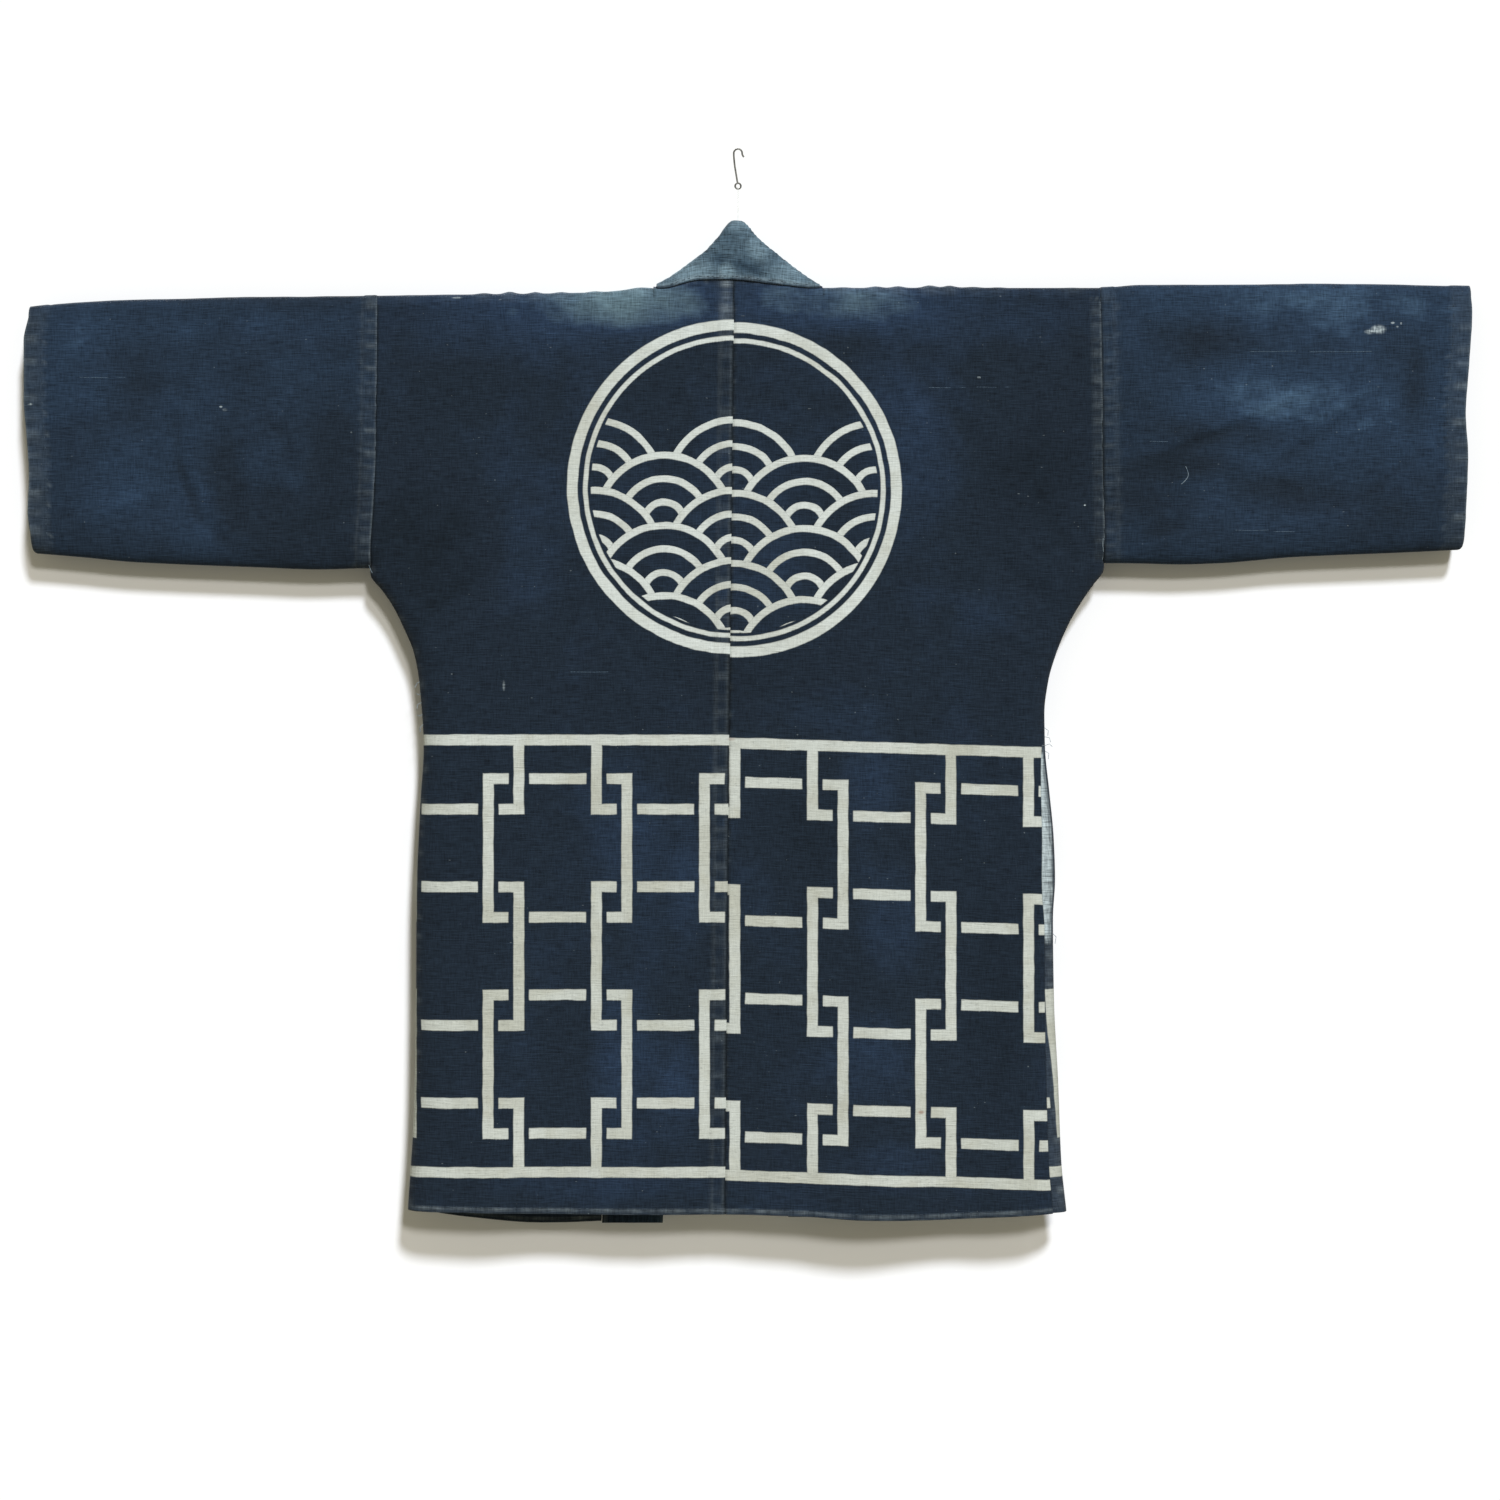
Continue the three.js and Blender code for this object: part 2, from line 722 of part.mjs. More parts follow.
// Solids for the one cut that is needed: the screw eye's hole in the rod.
function solidOf(geometry) {
  const bare = geometry.clone();
  bare.deleteAttribute("normal");
  bare.deleteAttribute("uv");
  const merged = mergeVertices(bare, 1e-3);
  const vertProperties = new Float32Array(merged.attributes.position.array);
  const triVerts = new Uint32Array(merged.index.array);
  return new wasm.Manifold(new wasm.Mesh({ numProp: 3, vertProperties, triVerts }));
}
function geometryOf(solid) {
  const { vertProperties, triVerts, numProp } = solid.getMesh();
  const positions = [];
  for (let k = 0; k < vertProperties.length; k += numProp)
    positions.push(...vertProperties.subarray(k, k + 3));
  return facingOut(positions, [...triVerts]);
}

// The hanging line has a loop at each end, which the wire of the hook's ring and of the screw eye runs through.
const LINE_RADIUS = 0.5;
const LOOP_RADIUS = 2.2;
const LOOP_PLAY = 0.3;

function ringAt(z, radius, wire, acrossX) {
  const ring = new THREE.TorusGeometry(radius, wire, 8, 16);
  if (acrossX) ring.rotateY(Math.PI / 2);
  else ring.rotateX(Math.PI / 2);
  return solidOf(ring.translate(0, 0, z));
}
function upright(radius, fromZ, toZ) {
  const post = new THREE.CylinderGeometry(radius, radius, toZ - fromZ, 8);
  return solidOf(post.rotateX(Math.PI / 2).translate(0, 0, (fromZ + toZ) / 2));
}

// The rod, with a hole in its top for the screw eye.
const EYE_WIRE = 1;
const EYE_RADIUS = 3.2;
const EYE_Z = rodAxisOf(0) + ROD_RADIUS + 1 + EYE_WIRE + EYE_RADIUS;
const EYE_SHANK_Z = rodAxisOf(0) + 2;

function rod() {
  const route = [-600, -324, -129, 0, 160, 326, 620].map((x) => [x, 0, rodAxisOf(x)]);
  const whole = solidOf(bar(curveThrough(route), ROD_RADIUS, 16, 14));
  const hole = upright(EYE_WIRE + 0.3, EYE_SHANK_Z - 0.3, EYE_Z);
  return geometryOf(whole.subtract(hole));
}

function screwEye() {
  const shank = upright(EYE_WIRE, EYE_SHANK_Z, EYE_Z - EYE_RADIUS);
  return geometryOf(ringAt(EYE_Z, EYE_RADIUS, EYE_WIRE, false).add(shank));
}

// The hook: a bend over the nail, a shank, and a small ring at its foot.
const HOOK_WIRE = 0.8;
const HOOK_BEND = 3; // inside radius of the bend
const HOOK_RING_Z = -32.6;
const HOOK_RING_RADIUS = 2.6;

function hook() {
  const bend = HOOK_BEND + HOOK_WIRE;
  const route = [[5.2, 0, -HOOK_BEND - 3.6], [bend, 0, -HOOK_BEND - 1]];
  for (const degrees of [20, 60, 90, 120, 160, 185]) {
    const turn = THREE.MathUtils.degToRad(degrees);
    route.push([bend * Math.cos(turn), 0, bend * Math.sin(turn) - HOOK_BEND]);
  }
  route.push([-3.2, 0, -12], [-2, 0, -20], [-0.4, 0, HOOK_RING_Z + HOOK_RING_RADIUS]);
  const wire = solidOf(bar(curveThrough(route), HOOK_WIRE, 8, 40));
  return geometryOf(wire.add(ringAt(HOOK_RING_Z, HOOK_RING_RADIUS, HOOK_WIRE, false)));
}

function hangingLine() {
  const play = LOOP_PLAY + LINE_RADIUS;
  const top = HOOK_RING_Z - HOOK_RING_RADIUS + HOOK_WIRE + play - LOOP_RADIUS;
  const bottom = EYE_Z + EYE_RADIUS - EYE_WIRE - play + LOOP_RADIUS;
  const run = upright(LINE_RADIUS, bottom + LOOP_RADIUS, top - LOOP_RADIUS);
  const loops = [top, bottom].map((z) => ringAt(z, LOOP_RADIUS, LINE_RADIUS, true));
  return geometryOf(run.add(loops[0]).add(loops[1]));
}

// Finishes
const cloth = (color) => new THREE.MeshStandardMaterial({ color, roughness: 0.95, metalness: 0 });
const INDIGO = cloth(0x27333f);
const INDIGO_SLEEVE = cloth(0x2c3a4c);
const INDIGO_WORN = cloth(0x4c6070);
const BAMBOO = new THREE.MeshStandardMaterial({ color: 0xb39262, roughness: 0.6, metalness: 0 });
const WIRE = new THREE.MeshStandardMaterial({ color: 0x9a9c98, roughness: 0.35, metalness: 1 });
const CLEAR = new THREE.MeshStandardMaterial({ color: 0xe8ecea, roughness: 0.2, metalness: 0 });

const coat = new THREE.Group();
function add(name, geometry, material) {
  const mesh = new THREE.Mesh(geometry, material);
  mesh.name = name;
  coat.add(mesh);
}
add("body_left", bodyHalf(-1), INDIGO);
add("body_right", bodyHalf(1), INDIGO);
add("sleeve_left", sleeve(-1), INDIGO_SLEEVE);
add("sleeve_right", sleeve(1), INDIGO_SLEEVE);
add("collar", collar(), INDIGO_WORN);
add("rod", rod(), BAMBOO);
add("screw_eye", screwEye(), WIRE);
add("hanging_line", hangingLine(), CLEAR);
add("hook", hook(), WIRE);

export default coat;
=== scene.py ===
# %% [markdown]
# # A hanten spread on a rod
# A hanten is a short cotton work coat cut from narrow cloth: one long length for each half of the body,
# a folded piece for each sleeve and a long folded band for the collar. This one hangs on a rod with its
# back to us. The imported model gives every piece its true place. Here each plain solid gets the look of
# worn indigo cotton.

# %% Load the frame
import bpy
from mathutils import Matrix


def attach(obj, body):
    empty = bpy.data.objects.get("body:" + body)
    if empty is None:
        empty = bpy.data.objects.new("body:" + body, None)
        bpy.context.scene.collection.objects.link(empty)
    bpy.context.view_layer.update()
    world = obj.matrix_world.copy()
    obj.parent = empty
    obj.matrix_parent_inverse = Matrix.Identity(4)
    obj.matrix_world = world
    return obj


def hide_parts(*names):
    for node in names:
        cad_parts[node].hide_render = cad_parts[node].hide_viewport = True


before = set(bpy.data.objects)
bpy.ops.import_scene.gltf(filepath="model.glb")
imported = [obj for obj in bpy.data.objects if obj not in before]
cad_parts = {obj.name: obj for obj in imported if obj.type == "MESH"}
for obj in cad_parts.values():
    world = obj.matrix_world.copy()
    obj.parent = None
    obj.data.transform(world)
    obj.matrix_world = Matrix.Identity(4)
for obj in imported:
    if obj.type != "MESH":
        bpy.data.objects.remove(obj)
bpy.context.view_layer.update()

# %% Tools
import math

import bmesh
import bpy
import numpy as np
from mathutils import Vector, noise
from mathutils.bvhtree import BVHTree

MM = 0.001  # shapes are worked out in millimetres and set in metres
scene = bpy.context.scene

# %% [markdown]
# ## The camera comes first
# The photograph was taken square on, from about three metres. One pixel of it is 0.9 mm at the coat, so
# a picture 1500 pixels wide covers about 1.35 m there. A long lens keeps the sleeves as straight as
# they look.

# %% Camera
PICTURE_WIDTH = 1.3446
CAMERA_DISTANCE = 3.0
COAT_Y = -0.011
AIM = Vector((0.0108, COAT_Y, -0.540))

camera_data = bpy.data.cameras.new("camera")
camera_data.lens = camera_data.sensor_width * CAMERA_DISTANCE / PICTURE_WIDTH
camera = bpy.data.objects.new("camera", camera_data)
camera.location = AIM + Vector((0, -CAMERA_DISTANCE, 0))
camera.rotation_euler = (math.pi / 2, 0, 0)
scene.collection.objects.link(camera)
scene.camera = camera
print("lens", round(camera_data.lens, 1), "mm")

# %% [markdown]
# ## Sizes of the cut and the outlines
# A smooth curve through a few rows gives each outline. The rows follow the driving sizes of the solids,
# so that the cloth lies on its solid's form.


# %% A curve through rows
def through(*rows):
    """A smooth function through (at, value) rows, with no overshoot between them."""
    at, value = np.array(rows, float).T
    slope = np.diff(value) / np.diff(at)
    before, after = np.append(slope[:1], slope), np.append(slope, slope[-1:])
    same_way = before * after > 0
    tangent = np.where(same_way, 2 * before * after / np.where(same_way, before + after, 1), 0)

    def curve(x):
        x = np.clip(x, at[0], at[-1])
        i = np.clip(np.searchsorted(at, x, side="right") - 1, 0, len(at) - 2)
        width = at[i + 1] - at[i]
        t = (x - at[i]) / width
        bend = t * (1 - t) * ((1 - t) * tangent[i] - t * tangent[i + 1])
        return value[i] + (value[i + 1] - value[i]) * t * t * (3 - 2 * t) + bend * width

    return curve


def mix(a, b, t):
    return a + (b - a) * t


def ease(t):
    t = np.clip(t, 0, 1)
    return t * t * (3 - 2 * t)


# %% Outlines, in millimetres
CLOTH = 1.2
HALF_WALL = 0.7  # half of a solid's wall
ROD_DEPTH = 10.1  # middle of the cloth to the rod's axis
COLLAR_DEPTH = 11.1
CLOSING = 28  # over this width the back and the front come together at a seam
STRIP_GAP = 0.2  # between the back's edge and the strip that wraps round to it
SEAM_LAP = 0.3  # the back and the front pass each other by this much at a side seam
OVERLAP = 0.35  # other sewn edges lie over each other by this much
ROD_HUG = 9.9  # the middle of the cloth is never nearer to the rod's axis than this
UNDERARM = {-1: -376, 1: -371.4}  # foot of the armhole on the left and on the right
UNDERARM_ROW = {-1: -369.5, 1: -369.9}  # in the body's grid, a row higher, so the sleeve covers its foot
HEM_Z = -956
TOP_Z = -134.4  # the rod's axis at the middle
WRAP_TOP_Z = -538  # below this the right side seam sits on the back face
STRIP_TOP_Z, STRIP_FOOT_Z = -541, -713  # along this it is turned out, and its inner side shows
FOLD_TOP_Z = -320  # the long folds begin here
HANG_FLARE = 5
NECK_X = 76
SHOULDER_X = 326
FRONT_TURN = -248  # height on the front = this minus the height on the flat cloth
BACK_PITCH, FRONT_PITCH = 3.4, 5.0

top_of = through(
    (-637, -141.5), (-592, -137.2), (-519, -134.2), (-324, -131.2), (-129, -128), (-76, -124.3),
    (76, -124.1), (326, -124), (360, -121.6), (549, -120.8), (657, -123),
)
side_edge = {
    -1: through(
        (-953, -297), (-854, -291.2), (-764, -289.8), (-674, -289.4), (-584, -285.8), (-535, -283),
        (-476, -286.8), (-449, -291.6), (-427, -300.6), (-405, -311.4), (-391, -321), (-377, -331),
        (-364, -330.8), (-315, -327.8), (-266, -325.8), (-123, -324.5),
    ),
    1: through(
        (-955, 295.5), (-911, 291), (-836, 288), (-764, 284.4), (-692, 283.5), (-656, 285.4), (-620, 284.2),
        (-575, 280), (-538, 276.4), (-506, 275.8), (-478, 279.2), (-457, 285), (-430, 296), (-405, 310.2),
        (-391, 320), (-377, 329.4), (-364, 329.7), (-315, 329), (-266, 328.3), (-123, 325.8),
    ),
}
wrap_width = through(
    (-955, 12.6), (-911, 11.8), (-836, 11.2), (-764, 8.6), (-700, 8), (-656, 12.5), (-620, 11),
    (-575, 7.6), (-538, 3),
)
centre_seam = through((-956, -12), (-600, -9), (-115, -3.6))
front_seam_of = {
    -1: through((-968, -124), (-600, -106), (-260, -87), (-124, -76)),
    1: through((-968, 101), (-600, 90), (-260, 80), (-124, 76)),
}
back_hem = through(
    (-297, -953.2), (-240, -954.2), (-127, -956), (-12, -956), (60, -957.5), (113, -960.5), (160, -960.8),
    (241, -958), (296, -954.4),
)
front_hem = through(
    (-297, -953.4), (-245, -962), (-185, -967), (-124, -965.5), (101, -960), (200, -962.5), (296, -954.6),
)
neckline = through(
    (-76, -124.3), (-71, -125.8), (-63, -125.2), (-50, -121.4), (-34, -117.9), (-10, -117.6), (8, -118.8),
    (28, -121.3), (45, -123.2), (62, -125.1), (71, -125.5), (76, -124.1),
)
ridge = through(
    (-76, -123.4), (-68, -119.4), (-58, -113.6), (-47, -105.6), (-40, -100.4), (-34, -96), (-28, -91.2),
    (-21, -83.6), (-15, -76.4), (-9, -68.4), (-1, -62.5), (8, -68.6), (14, -76.4), (20, -82.6), (27, -88.4),
    (36, -95.6), (45, -103), (54, -109.8), (62, -115.6), (70, -120.6), (76, -123.2),
)
back_folds = through(
    (-297, 0), (-225, 2.5), (-150, -2.5), (-75, 1.5), (-12, -1.5), (55, 1.5), (120, 7), (205, -1.5),
    (250, 1), (296, 0),
)
front_folds = through(
    (-297, 0), (-215, 4.5), (-150, -1), (-110, 2.5), (85, 1), (150, 4), (215, -1), (255, 2), (296, 0),
)


def axis_of(x):
    return top_of(x) - ROD_DEPTH - HALF_WALL


def closing(d):
    return np.sqrt(1 - (1 - np.clip(d / CLOSING, 0, 1)) ** 2)


def drop(z):
    return ease((axis_of(0.0) - z) / (axis_of(0.0) - HEM_Z))


def fold_fade(z):
    return ease((FOLD_TOP_Z - z) / (FOLD_TOP_Z - HEM_Z))


print("shoulder to hem", round(top_of(0.0) - HEM_Z), "mm")

# %% [markdown]
# ## Small shapes that cloth gets
# Old hand-sewn cotton is never flat. Its seams pucker, its hems ripple, and it keeps soft creases where
# it was folded and pulled. The puckers are sums of waves along a seam. The creases are given in a table,
# as soft ridges (lift above zero) or troughs (below).

# %% Puckers, creases and dents
# A crease is its middle (x and z), length, degrees from level, half width and lift.
BACK_CREASES = [
    (-250, -395, 130, 38, 9, -1.6), (-228, -425, 150, 30, 8, 1.2), (-268, -350, 95, 55, 8, -1.2),
    (-205, -235, 170, 74, 11, 0.9), (-160, -205, 120, 82, 8, -0.8), (-120, -480, 210, -12, 12, 0.9),
    (-180, -560, 160, 8, 9, -0.8), (-225, -700, 140, 78, 8, 1), (-60, -610, 180, 5, 10, 0.8),
    (-90, -860, 150, 62, 9, -1), (-240, -870, 120, -70, 8, 0.9), (150, -215, 160, -66, 9, 1.2),
    (195, -240, 190, -52, 8, -1), (230, -205, 130, -60, 7, 0.9), (262, -395, 130, -40, 9, -1.6),
    (240, -430, 150, -31, 8, 1.3), (285, -345, 90, -58, 7, -1.1), (150, -500, 170, 14, 11, 0.9),
    (215, -620, 130, -76, 8, 1), (120, -690, 190, -82, 13, 1.1), (235, -830, 150, 72, 8, -0.9),
    (60, -880, 130, -66, 8, 0.8),
]
FRONT_CREASES = [
    (-240, -400, 140, 35, 9, -1.5), (-200, -300, 180, 70, 10, 1), (-180, -640, 200, 80, 10, 1),
    (-230, -840, 130, -72, 8, -1), (245, -400, 140, -36, 9, -1.5), (190, -290, 170, -68, 10, 1.1),
    (170, -600, 180, -80, 11, -0.9), (225, -800, 150, 74, 8, 1),
]
LEFT_SLEEVE_CREASES = [
    (-503, -262, 70, -86, 4.5, -1.6), (-494, -306, 80, -68, 4.5, -2), (-484, -300, 100, -70, 6, 1.6),
    (-470, -345, 60, -40, 5, -1.2), (-545, -318, 70, 24, 5, 1.2), (-520, -212, 110, 8, 9, -0.9),
    (-410, -300, 130, -24, 10, 1), (-575, -330, 90, 32, 9, 1.1), (-590, -250, 80, 12, 8, -0.8),
    (-372, -330, 100, 28, 7, -1.2), (-430, -190, 150, 3, 12, 0.8),
]
RIGHT_SLEEVE_CREASES = [
    (415, -262, 160, 25, 6, -2.2), (450, -243, 190, 22, 6, 1.8), (520, -262, 120, 30, 5, -1.4),
    (545, -228, 110, 27, 6, 1.5), (590, -290, 80, 40, 5, -1), (395, -300, 130, 17, 8, 1.1),
    (470, -300, 110, -8, 9, -1), (560, -250, 120, 28, 11, 1), (520, -335, 130, 6, 8, 0.9),
    (605, -210, 110, 84, 9, -1.1), (375, -345, 90, 12, 6, -1.2), (520, -170, 200, 2, 12, 0.8),
]


def bump_at(d, width):
    return np.exp(-((d / width) ** 2))


def waver(s, pitch, seed):
    """Uneven waves along a length, from about -1 to 1."""
    turn = 2 * math.pi * s / pitch
    slow = 0.7 * np.sin(turn / 1.73 + 2.1 * seed)
    quick = 0.5 * np.sin(turn * 1.61 + 0.7 * seed)
    return (np.sin(turn + seed) + slow + quick) / 2.2


def puckers(d, s, amount, pitch, seed, reach):
    """Waves along a seam that die away beside it."""
    return amount * waver(s, pitch, seed) * np.exp(-d / reach)


def creased(x, z, creases):
    lift = np.zeros(np.shape(x))
    for x0, z0, length, degrees, half_width, height in creases:
        angle = math.radians(degrees)
        along = (x - x0) * math.cos(angle) + (z - z0) * math.sin(angle)
        across = (z - z0) * math.cos(angle) - (x - x0) * math.sin(angle)
        across = across + 0.05 * along * np.sin(along / 23 + x0)
        taper = 1 - np.clip(np.abs(along) / (length / 2), 0, 1) ** 2
        lift += height * taper**1.5 * bump_at(across, half_width)
    return lift


def dented(x, z, seed):
    """The gentle unevenness of cloth that has been worn and washed."""
    broad = [noise.noise(Vector((a / 70, seed, b / 95))) for a, b in zip(x.flat, z.flat)]
    small = [noise.noise(Vector((a / 19, seed + 5, b / 24))) for a, b in zip(x.flat, z.flat)]
    return np.reshape(np.array(broad) * 1.5 + np.array(small) * 0.35, x.shape)


# %% [markdown]
# ## Cloth from grids
# A grid of quads is the natural mesh for woven cloth, because its rows and columns run with the
# threads. Each piece is one or more grids, with their rows closer together at hems and seams. Two
# things stay with every point: where it lies on the flat cloth, for the weave and the dyed pattern, and
# its wear, which is how much it is rubbed, how much dye it lost or kept together with painted shade
# and highlight, and whether the pattern is left out there.

# %% Grid helpers
FINE = np.array([0, 0.7, 1.5, 2.5, 4, 6, 8.5, 11, 13, 15])


def steps(start, end, pitch, fine_start=False, fine_end=False):
    """Places from start to end about a pitch apart, and closer at an end that is a hem or seam."""
    way = 1 if end > start else -1
    head = start + way * FINE if fine_start else np.array([start])
    tail = end - way * FINE[::-1] if fine_end else np.array([end])
    count = max(int(round(abs(tail[0] - head[-1]) / pitch)), 1)
    middle = np.linspace(head[-1], tail[0], count + 1)[1:-1]
    return np.concatenate([head, middle, tail])


def add_grid(work, across, along, place):
    """Adds a grid to the bmesh. place gives the points in millimetres, the flat cloth's, and how each is
    rubbed and dyed with its painted shade.
    """
    layers = work.verts.layers.float_vector
    flat_layer, wear_and_shade_layer = (layers.get(name) or layers.new(name) for name in ("flat", "wear_and_shade"))
    counts = {"x_segments": len(across) - 1, "y_segments": len(along) - 1}
    made = bmesh.ops.create_grid(work, size=0.5, **counts)["verts"]
    share = np.array([v.co[:2] for v in made]) + 0.5
    i = np.rint(share[:, 0] * (len(across) - 1)).astype(int)
    j = np.rint(share[:, 1] * (len(along) - 1)).astype(int)
    points, flat, wear_and_shade = place(across[i], along[j])
    for v, p, f, w in zip(made, points * MM, flat * MM, wear_and_shade):
        v.co = p
        v[flat_layer] = (f[0], f[1], 0)
        v[wear_and_shade_layer] = w


def columns_of(*values):
    return np.stack(np.broadcast_arrays(*values), axis=-1)


def give(mesh, material):
    """Makes this the mesh's only material."""
    mesh.materials.clear()
    mesh.materials.append(material)


def as_piece(mesh, material):
    """The mesh as an object of its own name, with one material."""
    give(mesh, material)
    piece = bpy.data.objects.new(mesh.name, mesh)
    scene.collection.objects.link(piece)
    print(piece.name, len(mesh.polygons), "faces")
    return piece


def mesh_from(work, name):
    mesh = bpy.data.meshes.new(name)
    work.to_mesh(mesh)
    work.free()
    return mesh


def finished(work, name, material, thickness=CLOTH, weld=0.02):
    """The bmesh as an object, its doubles merged, smooth, and with the cloth's thickness."""
    bmesh.ops.remove_doubles(work, verts=work.verts, dist=weld * MM)
    bmesh.ops.recalc_face_normals(work, faces=work.faces)
    mesh = mesh_from(work, name)
    mesh.shade_smooth()
    piece = as_piece(mesh, material)
    wall = piece.modifiers.new("thickness", "SOLIDIFY")
    wall.thickness = thickness * MM
    wall.offset = 0
    wall.use_even_offset = False
    return piece


# %% [markdown]
# ## Shader arithmetic
# The dyed pattern and the weave are formulas. Written as bare nodes they would be unreadable, so a
# small class wraps a socket, and plain arithmetic on it makes the Math nodes.


# %% Formulas from nodes
def feed(slot, source):
    """Gives an input its value, from a Wire, a socket or a constant."""
    source = source.socket if isinstance(source, Wire) else source
    if isinstance(source, bpy.types.NodeSocket):
        slot.id_data.links.new(source, slot)
    else:
        slot.default_value = source


def add_node(tree, kind, *sources, **settings):
    """A new shader node with its settings, and its first inputs fed in turn."""
    node = tree.nodes.new("ShaderNode" + kind)
    for setting, value in settings.items():
        setattr(node, setting, value)
    for slot, source in zip(node.inputs, sources):
        feed(slot, source)
    return node


def set_inputs(node, inputs):
    for name, source in inputs.items():
        feed(node.inputs[name], source)


def arithmetic(operation):
    """A method that adds one Math node."""

    def method(self, *others):
        return Wire(add_node(self.tree, "Math", self, *others, operation=operation).outputs[0])

    return method


class Wire:
    """A value in a material's node tree. Arithmetic on it adds Math nodes."""

    __add__ = arithmetic("ADD")
    __sub__ = arithmetic("SUBTRACT")
    __mul__ = arithmetic("MULTIPLY")
    __truediv__ = arithmetic("DIVIDE")
    __abs__ = arithmetic("ABSOLUTE")
    least = arithmetic("MINIMUM")
    most = arithmetic("MAXIMUM")
    over = arithmetic("GREATER_THAN")
    wrap = arithmetic("WRAP")
    floor = arithmetic("FLOOR")
    fraction = arithmetic("FRACT")
    root = arithmetic("SQRT")

    def __init__(self, socket):
        self.socket = socket
        self.tree = socket.id_data

    def inverse(self):
        return self * -1 + 1

    def wrapped(self, period):
        return self.wrap(period / 2, -period / 2)

    def long_side(self, other):
        return (self * self + other * other).root()

    def between(self, low, high):
        """0 at low, 1 at high and smooth between them; low may be the larger."""
        node = add_node(self.tree, "MapRange", self, low, high, interpolation_type="SMOOTHSTEP")
        return Wire(node.outputs[0])


def choose(mask, yes, no):
    return no + (yes - no) * mask


def linear(red, green, blue):
    """A screen colour from 0 to 255, as the linear colour that a shader needs."""
    parts = [c / 255 for c in (red, green, blue)]
    return (*[p / 12.92 if p <= 0.04045 else ((p + 0.055) / 1.055) ** 2.4 for p in parts], 1)


def blend_colours(tree, factor, a, b, kind="MIX"):
    """A colour socket between a and b, each a colour or a socket."""
    node = add_node(tree, "Mix", factor, data_type="RGBA", blend_type=kind)
    feed(node.inputs[6], a)
    feed(node.inputs[7], b)
    return node.outputs[2]


def tone(value):
    """One value as a grey colour."""
    return add_node(value.tree, "CombineColor", value, value, value).outputs[0]


def parts_of(tree, vector):
    return [Wire(socket) for socket in add_node(tree, "SeparateXYZ", vector).outputs]


def attribute(tree, name):
    return add_node(tree, "Attribute", attribute_name=name).outputs["Vector"]


def object_place(tree):
    return add_node(tree, "TexCoord").outputs["Object"]


def noise_wire(tree, vector, scales, detail=2.0, roughness=0.5, seed=0.0):
    """Noise from 0 to 1 over a vector stretched by three scales."""
    shift = (seed, seed * 0.7, seed * 1.3)
    place = add_node(tree, "VectorMath", vector, scales, shift, operation="MULTIPLY_ADD").outputs[0]
    texture = add_node(tree, "TexNoise", place)
    set_inputs(texture, {"Scale": 1, "Detail": detail, "Roughness": roughness})
    return Wire(texture.outputs["Fac"])


def new_material(name):
    material = bpy.data.materials.new(name)
    material.use_nodes = True
    return material, material.node_tree, material.node_tree.nodes["Principled BSDF"]


def bumped(tree, shader, height, distance):
    node = add_node(tree, "Bump")
    set_inputs(node, {"Distance": distance, "Height": height})
    feed(shader.inputs["Normal"], node.outputs[0])


def two_tone(name, scales, dark, pale, detail=2, roughness=0.5, span=(0.3, 0.7), bump=0, **finish):
    """A finish that wanders between two screen colours. finish holds inputs of the shader."""
    material, tree, shader = new_material(name)
    grain = noise_wire(tree, object_place(tree), scales, detail, roughness)
    share = grain.between(*span) if span else grain
    feed(shader.inputs["Base Color"], blend_colours(tree, share, linear(*dark), linear(*pale)))
    set_inputs(shader, finish)
    if bump:
        bumped(tree, shader, grain, bump)
    return material


# %% [markdown]
# ## The dyed pattern
# The cloth was painted with rice paste through stencils and then dipped in indigo, so the lines stayed
# the cotton's own off-white. The lower band here is a common repeat of linked squares between two
# border lines, and the badge on the back is a round one of plain wave scales: both are general patterns
# drawn by formula. The two halves were stencilled apart, so the right one sits a little lower.

# %% Pattern formulas
BAND_TOP = -0.531
BAND_BOTTOM = -0.918
LINE = 0.0095
SQUARE_PITCH = (BAND_TOP - BAND_BOTTOM) / 2
SQUARE_HALF = 0.062
UNDER_GAP = 0.0045
SQUARE_SHIFT = 0.032
BADGE_X, BADGE_Z = -0.0032, -0.304
BADGE_RADIUS = 0.150
THIN_RING = BADGE_RADIUS - 0.0165
THIN_LINE = 0.0042
SCALES_EDGE = BADGE_RADIUS - 0.021
SCALE_RADIUS = 0.063
SCALE_RING = 0.021
SCALE_LINE = 0.0062
TOP_ROW = 0.5  # rows of waves above this one are left out, which leaves an open sky
SOFT = 0.0006  # how far the dye creeps under the paste
BACK_TOP = -0.12  # along the flat cloth, what is above this is the front


def line_mask(distance, width):
    return abs(distance).between(width / 2 + SOFT, width / 2 - SOFT)


def linked_squares(u, v):
    """Rings of squares that pass over and under one another at their corners."""
    half = SQUARE_PITCH / 2
    sides = []
    for shift_u, shift_v in ((0, half), (half, 0)):
        x = (u - SQUARE_SHIFT - shift_u).wrapped(SQUARE_PITCH)
        y = (v - BAND_TOP - shift_v).wrapped(SQUARE_PITCH)
        off_line = abs(x).most(abs(y)) - SQUARE_HALF
        upright = (abs(x) - abs(y)).over(0)
        sides.append((line_mask(off_line, LINE), line_mask(off_line, LINE + 2 * UNDER_GAP), upright))
    (line_a, wide_a, up_a), (line_b, wide_b, up_b) = sides
    over = (line_a * up_a).most(line_b * up_b)
    under_a = line_a * up_a.inverse() * (wide_b * up_b).inverse()
    under_b = line_b * up_b.inverse() * (wide_a * up_a).inverse()
    return over.most(under_a).most(under_b)


